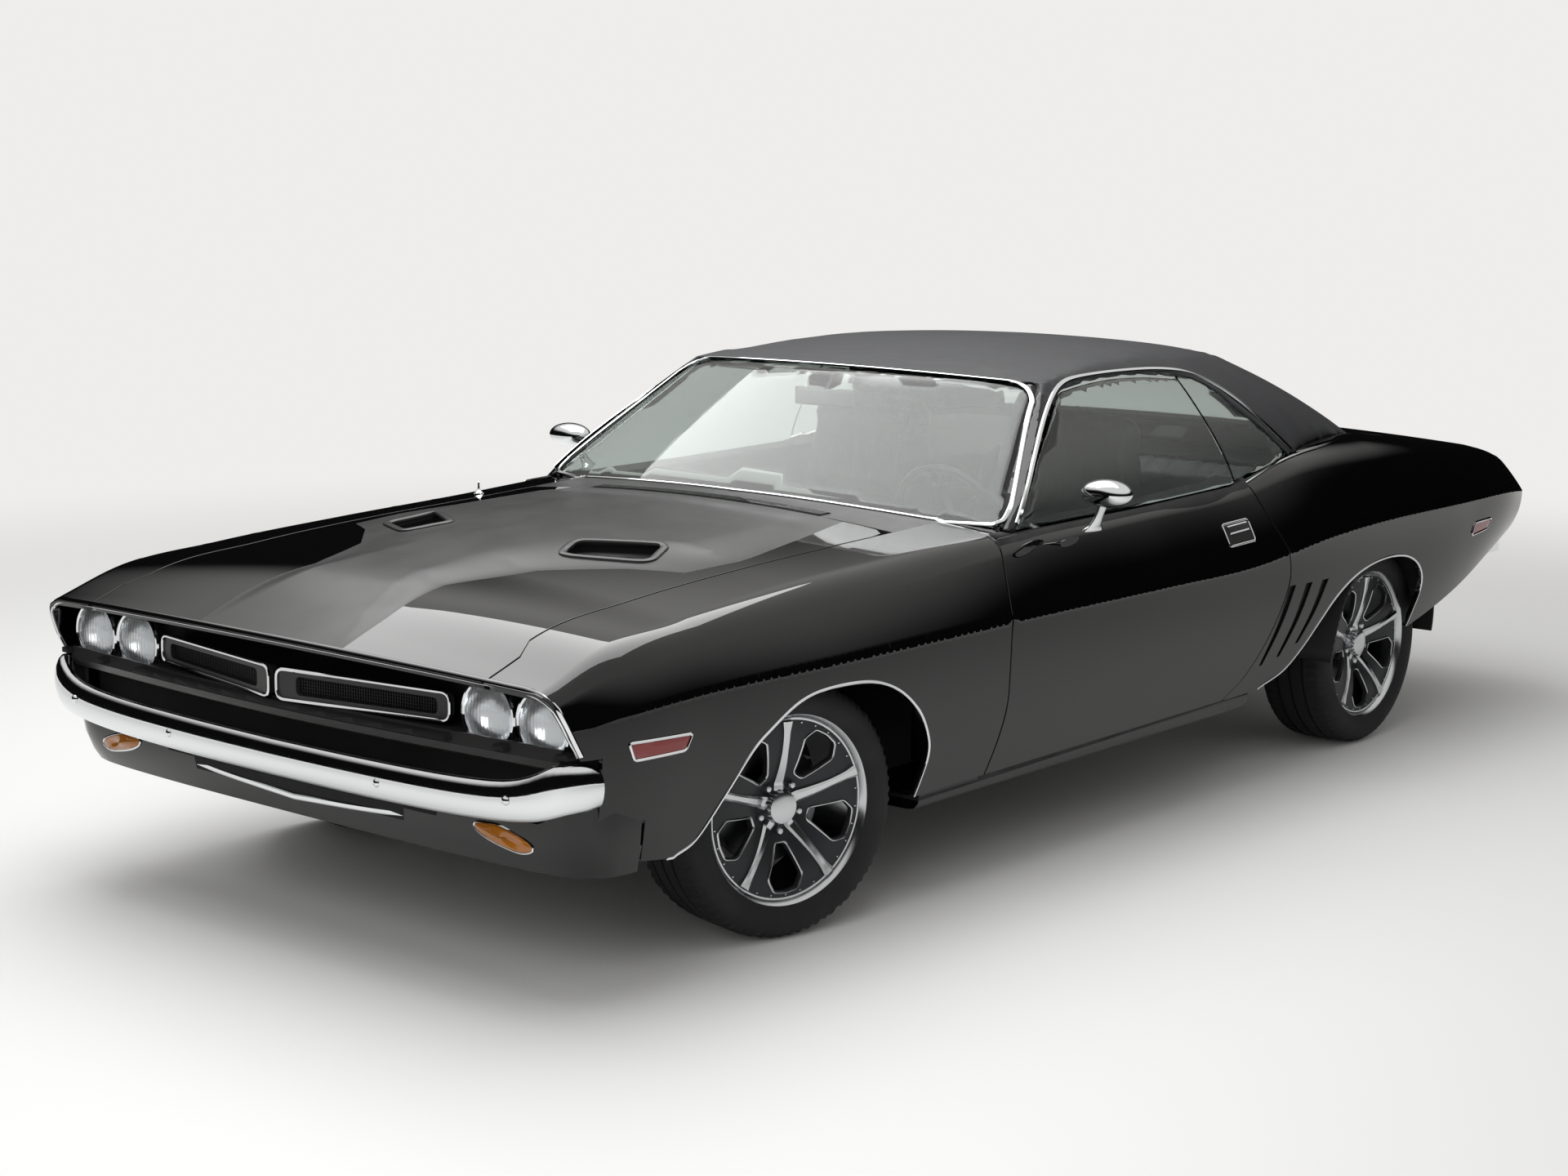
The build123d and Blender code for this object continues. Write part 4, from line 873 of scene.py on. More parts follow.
# Middle lines of the gills: y and z of the upper end, then of the lower end
GILLS = [(2135, 600, 1996, 375), (2233, 597, 2092, 388), (2332, 595, 2192, 415)]


@dataclass
class Body:
    """Builds the sheet panels and what is let into them.

    Attributes:
        finish: All materials.
        panels: Cuts the panels.
        gill_depth: How far the gills' floors lie under the skin.
        opening_shade_half: Half width of the valance's air opening, whose faces are painted flat black as
            painted shade.
    """

    finish: "Finishes"
    panels: Panels = field(default_factory=Panels)
    gill_depth: float = 9.0
    opening_shade_half: float = 486.0

    def build(self) -> None:
        """Makes all panels."""
        self.sides()
        self.hood()
        self.deck()
        self.valance()

    def sides(self) -> None:
        """Fenders, doors and quarters, left and mirrored."""
        gills = self.panels.gill_loops()
        loops = {"fender": [self.panels.fender_loop()], "door": [self.panels.door_loop()],
                 "quarter": [self.panels.quarter_loop(), *gills]}
        for name, outline in loops.items():
            for side, shape in self.panels.shell(outline).pair():
                body, nodes = (f"door_{side}", []) if name == "door" else ("root", [f"{name}_{side}"])
                shape.fit(f"{name}_skin_{side}", self.finish.paint, "paint", *nodes, body=body)
        wells = Shape()
        for loop in gills:
            wells.add(plate(loop, -self.gill_depth, 20.0, 2.0))
        for side, shape in wells.pair():
            shape.fit(f"gill_wells_{side}", self.finish.satin_black, "black")

    def hood(self) -> None:
        """Hood with its satin raised centre, both scoops and the cowl behind it."""
        holes = [self.panels.scoop_loop(side) for side in (1, -1)]
        y = np.linspace(-915, 586, 110)
        foot, top, _ = raised(y)
        lines = [BODY.by_width(np.stack([half * side, y], 1)) for half in (foot, (foot + top) / 2, top)
                 for side in (1, -1)]
        loops = [self.panels.hood_loop(), *[BODY.by_width(h) for h in holes]]
        skin = self.panels.shell(loops, surface=lifted, tint=satin_zone, lines=lines)
        settle(skin.build("hood_skin", [self.finish.paint, self.finish.satin_black]), "hood", "paint", "hood")
        for side, hole in zip(("left", "right"), holes):
            top_ring = lifted(BODY.by_width(hole))
            tub = outward(self.tub(top_ring))
            tub.fit(f"scoop_well_{side}", self.finish.black_paint_and_shade, "black", body="hood")
            lip = catmull(top_ring[::3], 8, closed=True)
            profile = [(-11, -2), (-10, 3), (-5, 6), (5, 6), (10, 3), (11, -2)]
            ring = sweep(lip, profile, np.tile([0.0, 0.0, 1.0], (len(lip), 1)), closed=True)
            ring.fit(f"scoop_ring_{side}", self.finish.satin_black, "black", body="hood")
        cowl = self.panels.across([(654, 597), (654, 866)])
        skin = self.panels.shell([cowl])
        skin.fit("cowl_skin", self.finish.satin_black, "black", "cowl")

    def tub(self, ring: Array) -> Shape:
        """Open-topped tub under a loop, closed as a thin shell."""
        middle = ring.mean(0)
        # Size of the ring and its height above the hood, down the inside and up the outside
        levels = [(1.0, 1.0), (0.98, -26), (0.5, -27), (0.02, -27), (0.02, -30), (0.5, -30), (1.01, -30),
                  (1.02, 1.0), (1.0, 1.0)]
        rows = [np.stack([middle[0] + (ring[:, 0] - middle[0]) * f, middle[1] + (ring[:, 1] - middle[1]) * f,
                          ring[:, 2] + dz], 1) for f, dz in levels]
        return weld(grid_shape(np.array(rows), closed=True))

    def deck(self) -> None:
        """Boot lid and the panel between it and the rear window."""
        lid = self.panels.shell([self.panels.across([(622, 3128), (672, 3142), (690, 3186), (690, 3792)])])
        lid.fit("deck_lid_skin", self.finish.paint, "paint", body="deck_lid")
        front = lambda x: 2992 - 60 * (x / 690) ** 2
        filler = self.panels.shell([self.panels.across([(690, 2932), (697, 3121)], front)])
        filler.fit("deck_filler_skin", self.finish.paint, "paint", "deck_filler")

    def valance(self) -> None:
        """Black lower front panel, rolled at top and bottom; its air opening is flat black faces of painted
        shade, not a hole.
        """
        high = catmull([(933, -645), (930, -700), (917, -762), (866, -812), (500, -836), (0, -846)], 24)
        low = catmull([(916, -645), (911, -700), (892, -744), (800, -790), (480, -811), (0, -816)], 24)
        at = np.linspace(0, 1, 60)
        top, foot = (np.stack([np.interp(at, np.linspace(0, 1, len(line)), line[:, k]) for k in (0, 1)], 1)
                     for line in (high, low))
        level = [(0.0, 428.0), (0.25, 398.0), (0.5, 368.0), (0.78, 334.0), (1.0, 310.0)]
        rows = []
        for s, z in level:
            bow = 10 * math.sin(math.pi * s)
            line = top * (1 - s) + foot * s
            rise = 48 * (1 - s) ** 2 * np.clip((line[:, 0] - 790) / 80, 0, 1)
            out = np.stack([line[:, 0] + bow * (line[:, 0] / 918) ** 6, line[:, 1] - bow, z + rise], 1)
            rows.append(np.concatenate([out, out[::-1][1:] * [-1, 1, 1]]))
        outer = np.array(rows)
        inner = outer * [0.99, 1.0, 1.0] + [0, 10, 0]
        shape = outward(weld(grid_shape(np.concatenate([outer, inner[::-1], outer[:1]]))))
        middle = np.array([np.array([shape.verts[i] for i in f]).mean(0) for f in shape.faces])
        wide, high = np.abs(middle[:, 0]), middle[:, 2]
        # The air opening's faces take the flat black material: painted shade where the dark inside of the
        # opening would show
        opening = (wide < self.opening_shade_half) & (high > 364 + 0.05 * wide)
        shape.tints = [int(t) for t in opening]
        skin = shape.build("valance_skin", [self.finish.paint, self.finish.black_paint_and_shade])
        settle(skin, "root", "paint", "front_valance")


def add_node(tree: bpy.types.NodeTree, kind: str, values: Optional[dict] = None, links: Optional[dict] = None,
             **settings: object) -> bpy.types.Node:
    """Adds a node with its settings, input values and links.

    Args:
        tree: Node tree that takes the node.
        kind: Type of the node.
        values: Input values by socket name or number.
        links: Output sockets that feed inputs, by socket name or number.
        settings: Attributes of the node.

    Returns:
        The new node.
    """
    node = tree.nodes.new(kind)
    for key, value in settings.items():
        setattr(node, key, value)
    for key, value in (values or {}).items():
        node.inputs[key].default_value = value
    for key, socket in (links or {}).items():
        tree.links.new(socket, node.inputs[key])
    return node


# A wave texture repeats 20 times in 2 pi of its own units, so this gives one wave for each rib
WAVES_PER_RIB = 0.314
RIB_RELIEF = 0.6


@dataclass(frozen=True)
class Finish:
    """One real material or surface treatment.

    Attributes:
        name: What the surface is made of, or how it was treated.
        colour: sRGB colour.
        metallic: 1 for bare metal.
        roughness: Spread of the reflection.
        coat: Strength of a clear layer on top.
        transmission: 1 for clear glass.
        ior: Refractive index.
        grain: Size of the surface's grain in millimetres, 0 for none.
        relief: Depth of the grain in millimetres.
        mottle: How much the roughness wanders, as on a handled surface.
        specular: Strength of the reflection under the clear layer.
        flutes: Pitch of upright pressed ribs in millimetres, 0 for none.
    """

    name: str
    colour: str
    metallic: float = 0.0
    roughness: float = 0.5
    coat: float = 0.0
    transmission: float = 0.0
    ior: float = 1.45
    grain: float = 0.0
    relief: float = 0.0
    mottle: float = 0.0
    specular: float = 0.5
    flutes: float = 0.0

    def make(self) -> bpy.types.Material:
        """Builds the material."""
        material = bpy.data.materials.new(self.name)
        material.use_nodes = True
        tree = material.node_tree
        shader = tree.nodes["Principled BSDF"]
        constants = {
            "Base Color": linear(self.colour), "Metallic": self.metallic, "Roughness": self.roughness,
            "Coat Weight": self.coat, "Coat Roughness": 0.02, "Transmission Weight": self.transmission,
            "IOR": self.ior, "Specular IOR Level": self.specular,
        }
        for key, value in constants.items():
            shader.inputs[key].default_value = value
        if not (self.grain or self.mottle or self.flutes):
            return material
        place = {"Vector": add_node(tree, "ShaderNodeTexCoord").outputs["Object"]}
        if self.grain:
            cells = add_node(tree, "ShaderNodeTexVoronoi", {"Scale": 1 / (self.grain * MM)}, place)
            bump = add_node(tree, "ShaderNodeBump", {"Distance": self.relief * MM, "Strength": 0.7},
                            {"Height": cells.outputs["Distance"]})
            tree.links.new(bump.outputs["Normal"], shader.inputs["Normal"])
        if self.flutes:
            waves = add_node(tree, "ShaderNodeTexWave", {"Scale": WAVES_PER_RIB / (self.flutes * MM)}, place,
                             bands_direction="X")
            bump = add_node(tree, "ShaderNodeBump", {"Distance": RIB_RELIEF * MM, "Strength": 0.6},
                            {"Height": waves.outputs["Fac"]})
            tree.links.new(bump.outputs["Normal"], shader.inputs["Normal"])
        if self.mottle:
            cloud = add_node(tree, "ShaderNodeTexNoise", {"Scale": 9.0, "Detail": 5.0}, place)
            spread_to = add_node(tree, "ShaderNodeMapRange", {
                "From Min": 0.3, "From Max": 0.7, "To Min": max(self.roughness - self.mottle, 0.01),
                "To Max": self.roughness + self.mottle}, {"Value": cloud.outputs["Fac"]})
            tree.links.new(spread_to.outputs["Result"], shader.inputs["Roughness"])
        return material


class Finishes:
    """All materials of the car."""

    def __init__(self) -> None:
        """Makes each material once."""
        # Deep enamel under a clear layer: black with sharp, narrow reflections
        self.paint = Finish("gloss_black_enamel", "#050506", roughness=0.3, coat=1.0, specular=0.0).make()
        # Flattened black paint: soft grey sheen without clear reflections
        self.satin_black = Finish("satin_black_paint", "#232323", roughness=0.36, mottle=0.03).make()
        # Dull black paint inside openings: swallows the light. On the radiator and nose panel it is their own
        # black paint; on the valance's air opening, the strip under the cowl louvres and the panel behind the
        # bumper it is painted shade
        self.black_paint_and_shade = Finish("flat_black_paint_and_shade", "#0a0a0b", roughness=0.75, mottle=0.05).make()
        # Plated steel: mirror bright with a faint cool tone
        self.chrome = Finish("chrome_plate", "#e4e6e8", metallic=1.0, roughness=0.07, mottle=0.02).make()
        # Machined wheel metal: bright but a little soft
        self.alloy = Finish("polished_cast_alloy", "#c9cbcd", metallic=1.0, roughness=0.2, mottle=0.05).make()
        # Baked enamel on the cast star: dark grey with a broad metallic sheen
        self.rim_grey = Finish("charcoal_wheel_enamel", "#2b2c2f", metallic=0.4, roughness=0.38,
                               mottle=0.04).make()
        # Tyre rubber: matt, with a faint pebbled skin
        self.rubber = Finish("tyre_rubber", "#17171a", roughness=0.72, grain=2.5, relief=0.25,
                             mottle=0.08).make()
        # Embossed roof vinyl: tiny leather-like cells that break up the light
        self.vinyl = Finish("grained_roof_vinyl", "#27282b", roughness=0.52, grain=2.2, relief=0.5,
                            mottle=0.06).make()
        # Embossed seat vinyl: finer grain and a softer gloss than the roof's
        self.seat = Finish("black_seat_vinyl", "#1a1a1c", roughness=0.45, grain=1.6, relief=0.3,
                           mottle=0.06).make()
        # Rolled glass with a light green tint: clear, with sharp reflections
        self.glass = Finish("tinted_window_glass", "#cfd6d3", roughness=0.0, transmission=1.0).make()
        # Pressed glass with upright ribs: clear, but it breaks the bowl into stripes
        self.lamp_glass = Finish("clear_pressed_lens", "#f6f8f9", roughness=0.02, transmission=0.95,
                                 ior=1.5, flutes=11.0).make()
        # Moulded lamp plastics: deep colour under a glossy skin
        self.red = Finish("red_lamp_lens", "#6d1210", roughness=0.12, coat=0.6, mottle=0.03).make()
        self.amber = Finish("amber_lamp_lens", "#8f5616", roughness=0.14, coat=0.6, mottle=0.03).make()
        # Sprayed chassis paint: dull and uneven
        self.chassis = Finish("chassis_black_paint", "#141415", roughness=0.6, mottle=0.08).make()
        # Painted castings: dull, with the rough skin of the sand
        self.iron = Finish("painted_cast_iron", "#2b2b2c", metallic=0.3, roughness=0.6, grain=3, relief=0.2,
                           mottle=0.1).make()
        # Unpainted sheet and turned steel: grey with a broken gloss
        self.steel = Finish("bare_steel", "#8b8d8f", metallic=1.0, roughness=0.38, mottle=0.1).make()


class Repeat(Enum):
    """How a unit is repeated."""

    RING = "ring"
    ROW = "row"


def repeated(unit_shape: Shape, kind: Repeat, count: int, pitch: float,
             material: bpy.types.Material) -> Shape:
    """Repeats a unit with a node tree built here, and takes the result as plain mesh data.

    Args:
        unit_shape: Shape that is repeated. A ring turns it about the x axis, a row moves it along x.
        kind: Ring or row.
        count: Number of copies.
        pitch: Distance between copies in a row; unused for a ring.
        material: Material that the copies take.

    Returns:
        The joined copies.
    """
    mesh = bpy.data.meshes.new("unit")
    mesh.from_pydata([tuple(v) for v in unit_shape.verts], [], unit_shape.faces)
    obj = added("unit", mesh)
    tree = bpy.data.node_groups.new(f"{kind.value}_array", "GeometryNodeTree")
    tree.interface.new_socket("Geometry", in_out="INPUT", socket_type="NodeSocketGeometry")
    count_in = tree.interface.new_socket("Count", in_out="INPUT", socket_type="NodeSocketInt")
    pitch_in = tree.interface.new_socket("Pitch", in_out="INPUT", socket_type="NodeSocketFloat")
    tree.interface.new_socket("Geometry", in_out="OUTPUT", socket_type="NodeSocketGeometry")
    source = add_node(tree, "NodeGroupInput").outputs
    points = add_node(tree, "GeometryNodePoints", links={"Count": source["Count"]})
    index = add_node(tree, "GeometryNodeInputIndex").outputs[0]
    links = {"Points": points.outputs[0], "Instance": source["Geometry"]}
    if kind is Repeat.RING:
        share = add_node(tree, "ShaderNodeMath", operation="DIVIDE", links={0: index, 1: source["Count"]})
        angle = add_node(tree, "ShaderNodeMath", {1: 2 * math.pi}, {0: share.outputs[0]},
                         operation="MULTIPLY")
        links["Rotation"] = add_node(tree, "ShaderNodeCombineXYZ", links={"X": angle.outputs[0]}).outputs[0]
    else:
        along = add_node(tree, "ShaderNodeMath", operation="MULTIPLY", links={0: index, 1: source["Pitch"]})
        place = add_node(tree, "ShaderNodeCombineXYZ", links={"X": along.outputs[0]})
        moved = add_node(tree, "GeometryNodeSetPosition", links={
            "Geometry": points.outputs[0], "Position": place.outputs[0]})
        links["Points"] = moved.outputs[0]
    copies = add_node(tree, "GeometryNodeInstanceOnPoints", links=links)
    real = add_node(tree, "GeometryNodeRealizeInstances", links={"Geometry": copies.outputs[0]})
    dressed = add_node(tree, "GeometryNodeSetMaterial", {"Material": material},
                       {"Geometry": real.outputs[0]})
    add_node(tree, "NodeGroupOutput", links={"Geometry": dressed.outputs[0]})
    modifier = obj.modifiers.new("array", "NODES")
    modifier.node_group = tree
    modifier[count_in.identifier] = count
    modifier[pitch_in.identifier] = float(pitch)
    ready = obj.evaluated_get(bpy.context.evaluated_depsgraph_get())
    result = bpy.data.meshes.new_from_object(ready)
    verts = [np.array(v.co) for v in result.vertices]
    faces = [tuple(p.vertices) for p in result.polygons]
    bpy.data.objects.remove(obj)
    bpy.data.meshes.remove(result)
    return Shape(verts, faces, None, [0] * len(faces))


def dress(node: str, name: str, slot: str, material: bpy.types.Material, sharp: float = 32.0,
          body: str = "root", inset: Sequence[float] = (0, 0, 0)) -> bpy.types.Object:
    """Gives a CAD node a smooth, merged copy with a real material, which stands for it.

    Args:
        node: CAD node.
        name: Name of the new piece.
        slot: Name of the piece's slot; not used.
        material: Its finish.
        sharp: Edges that turn by more than this many degrees stay sharp.
        body: Body that it rides on.
        inset: How far the piece draws back under its painted skin, in x towards the middle, y and z.

    Returns:
        The new piece.
    """
    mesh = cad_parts[node].data.copy()
    mesh.name = name
    mesh.materials.clear()
    mesh.materials.append(material)
    work = bmesh.new()
    work.from_mesh(mesh)
    bmesh.ops.remove_doubles(work, verts=work.verts, dist=1e-5)
    bmesh.ops.dissolve_degenerate(work, edges=work.edges, dist=1e-6)
    for vert in work.verts:
        vert.co -= Vector((math.copysign(inset[0], vert.co.x), inset[1], inset[2])) * MM
    for face in work.faces:
        face.smooth = True
        face.material_index = 0
    work.to_mesh(mesh)
    work.free()
    if mesh.has_custom_normals:
        mesh.normals_split_custom_set([(0, 0, 0)] * len(mesh.loops))
    mesh.set_sharp_from_angle(angle=math.radians(sharp))
    return settle(added(name, mesh), body, slot, node)


# Angle by which the front wheels are turned in the photograph, and x of the steering axis
STEER = -13.05
KINGPIN_X = 690.0

# Name of each corner, its side, the wheel's middle, and whether it steers
CORNERS = (
    ("front_left", 1, (745, 0, 317), True), ("front_right", -1, (-745, 0, 317), True),
    ("rear_left", 1, (768, WHEELBASE, 317), False), ("rear_right", -1, (-768, WHEELBASE, 317), False),
)


@dataclass
class RoadWheel:
    """Tyre and star wheel about the x axis, with the face towards +x.

    Attributes:
        finish: All materials.
        spokes: Number of spokes.
        ring_rivets: Number of rivets round the face.
        blocks: Number of tread blocks round a shoulder.
        nut_circle: Distance of the wheel nuts from the axis.
    """

    finish: Finishes
    spokes: int = 5
    ring_rivets: int = 30
    blocks: int = 72
    nut_circle: float = 60.0

    def tyre(self) -> Shape:
        """Tyre with grooves round its tread and notched shoulders."""
        side = [(92, 229.6), (104, 233), (113, 244), (117.2, 262), (116.5, 276), (112, 292), (105, 303),
                (97, 310), (88, 314)]
        tread = [(72, 316), (50, 316.9), (49, 309), (41, 309), (40, 316.9), (5, 316.9), (4, 309)]
        half = side + tread
        profile = half + [(-x, r) for x, r in reversed(half)]

        def notch(x: Array, r: Array, angle: float) -> Array:
            """Cuts the shoulder blocks."""
            cut = (angle * self.blocks / (2 * math.pi)) % 1 < 0.34
            return np.where((np.abs(x) > 68) & (r > 300) & cut, r - 5.0, r)

        return lathe(profile, 216, notch)

    def rim(self) -> Shape:
        """Polished lip and barrel."""
        profile = [(101.6, 243.4), (106.0, 243.4), (107.6, 241.5), (107.0, 238), (102.5, 231.5), (97, 226),
                   (90, 221.5), (84, 219), (66, 217), (64, 219.4), (-92, 219.4), (-106, 236), (-106.2, 243.2),
                   (-101.6, 243.2), (-96, 233), (-92.3, 229.2), (92.3, 229.2), (96, 233)]
        return lathe(profile, 128)

    def face(self, r: Array) -> Array:
        """Height of the star's face at a distance from the axis."""
        s = np.clip((r - 60) / 150, 0, 1)
        return 50 + 36 * (1 - (1 - s) ** 2)

    def on_face(self, plane: Array) -> Array:
        """Places of points of the wheel's plane on the face."""
        return np.stack([self.face(np.linalg.norm(plane, axis=1)), plane[:, 0], plane[:, 1]], 1)

    def turned(self, loop: Array, k: float) -> Array:
        """A loop of the wheel's plane turned by k spokes."""
        a = 2 * math.pi / self.spokes * k
        return loop @ np.array([[math.cos(a), -math.sin(a)], [math.sin(a), math.cos(a)]])

    def windows(self, grow: float = 0.0) -> list[Array]:
        """Outlines of the five kite-shaped windows."""
        kite = [(-13 - grow, 88 - grow), (-50 - grow, 168), (-34 - grow, 199 + grow), (0, 204 + grow),
                (34 + grow, 199 + grow), (50 + grow, 168), (13 + grow, 88 - grow)]
        return [self.turned(rounded(kite, 9, 7), k + 0.5) for k in range(self.spokes)]

    def star(self) -> Shape:
        """Dark star face with its windows open."""
        round_edge = np.array([(math.sin(a) * 217.5, math.cos(a) * 217.5)
                               for a in np.linspace(0, 2 * math.pi, 120, endpoint=False)])
        return region_shell(self.on_face, [round_edge, *self.windows()], (10.0, 10.0), 13.0, roll=1.5)

    def bright(self) -> Shape:
        """Polished ribs, window edges, hub cap, nuts and rivets."""
        shape = Shape()
        edge = [(-2.8, -2), (-2.6, 1.6), (0, 2.6), (2.6, 1.6), (2.8, -2)]
        for loop in self.windows(2.0):
            path = self.on_face(loop)
            shape.add(sweep(path, edge, np.tile([1.0, 0.0, 0.0], (len(path), 1)), closed=True))
        rib = [(-8, -2), (-7.6, 4), (-4, 6.5), (4, 6.5), (7.6, 4), (8, -2)]
        for k in range(self.spokes):
            line = self.turned(np.stack([np.zeros(24), np.linspace(36, 215, 24)], 1), k)
            path = self.on_face(line)
            flare = np.interp(np.linspace(0, 1, 24), [0, 0.25, 0.6, 0.85, 1], [2.1, 1.7, 1.25, 1.35, 2.0])
            shape.add(sweep(path, rib, np.tile([1.0, 0.0, 0.0], (24, 1)), scale=flare))
        cap = [(44, 0.01), (44, 45), (54, 45), (60, 42), (72, 41), (77, 38), (79, 30), (80, 14), (80.3, 0.01)]
        flute = lambda x, r, a: np.where((x > 53) & (x < 73), r + 1.4 * math.cos(a * 20), r)
        shape.add(lathe(cap, 120, flute))
        nut = lathe([(46, 0.01), (46, 11), (62, 10), (66, 7), (67, 0.01)], 6)
        for k in range(self.spokes):
            a = 2 * math.pi / self.spokes * (k + 0.5)
            at = (0, self.nut_circle * math.sin(a), self.nut_circle * math.cos(a))
            shape.add(nut.moved(at))
        rivet = lathe([(0, 0.01), (0, 3.4), (2.4, 2.8), (3.4, 0.01)], 8)
        rivet = rivet.moved((85.4, 0, 211))
        shape.add(repeated(rivet, Repeat.RING, self.ring_rivets, 0.0, self.finish.alloy))
        return shape

    def ring(self) -> Shape:
        """Bright band between the star and the lip."""
        return lathe([(86.5, 216), (88.5, 217), (89, 221), (86, 222.5), (84, 219)], 128)

    def brake(self) -> Shape:
        """Brake disc and the hub behind the star."""
        disc = [(-11.5, 0.01), (-11.5, 149.5), (-3, 149.5), (-3, 146), (3, 146), (3, 149.5), (11.5, 149.5),
                (11.5, 66), (49, 66), (49, 0.01)]
        return lathe(disc, 96)

    def build(self) -> None:
        """Places all four wheels."""
        parts = (
            ("tyre", self.tyre(), self.finish.rubber, "tyre", "tyre"),
            ("rim", self.rim(), self.finish.alloy, "alloy", "wheel"),
            ("star", self.star(), self.finish.rim_grey, "wheel_rim"),
            ("trim", self.bright(), self.finish.alloy, "alloy"),
            ("ring", self.ring(), self.finish.alloy, "alloy"),
            ("brake", self.brake(), self.finish.steel, "steel"),
        )
        for name, shape, material, slot, *stands in parts:
            for corner, side, middle, steers in CORNERS:
                one = shape if side > 0 else shape.mirrored()
                one = one.moved(middle)
                if steers:
                    turn = Matrix.Rotation(math.radians(STEER), 3, "Z")
                    pivot = np.array([side * KINGPIN_X, 0, 0])
                    one = one.moved(-pivot).moved(pivot, turn)
                nodes = [f"{kind}_{corner}" for kind in stands]
                one.fit(f"{name}_{corner}", material, slot, *nodes, body=f"wheel_{corner}", sharp=30)


def both(shape: Shape) -> Shape:
    """A left-hand shape and its mirror image."""
    return Shape().add(shape).add(shape.mirrored())


def whole(half: Array) -> Array:
    """A line or row of rings from the car's middle to its left, joined to its mirror image."""
    return np.concatenate([half[::-1], half[1:] * [-1, 1, 1]])


# Sections of the bright strips, across and then up from the panel
STRIP = [(-4, -1.5), (-3.8, 1.2), (-2, 2.6), (2, 2.6), (3.8, 1.2), (4, -1.5)]
WIDE_STRIP = [(-7, -1.5), (-6.8, 1.4), (-4, 3.4), (4, 3.4), (6.8, 1.4), (7, -1.5)]
AHEAD = np.array([0.0, -1.0, 0.0])
TO_FRONT = Matrix.Rotation(-math.pi / 2, 3, "Z")


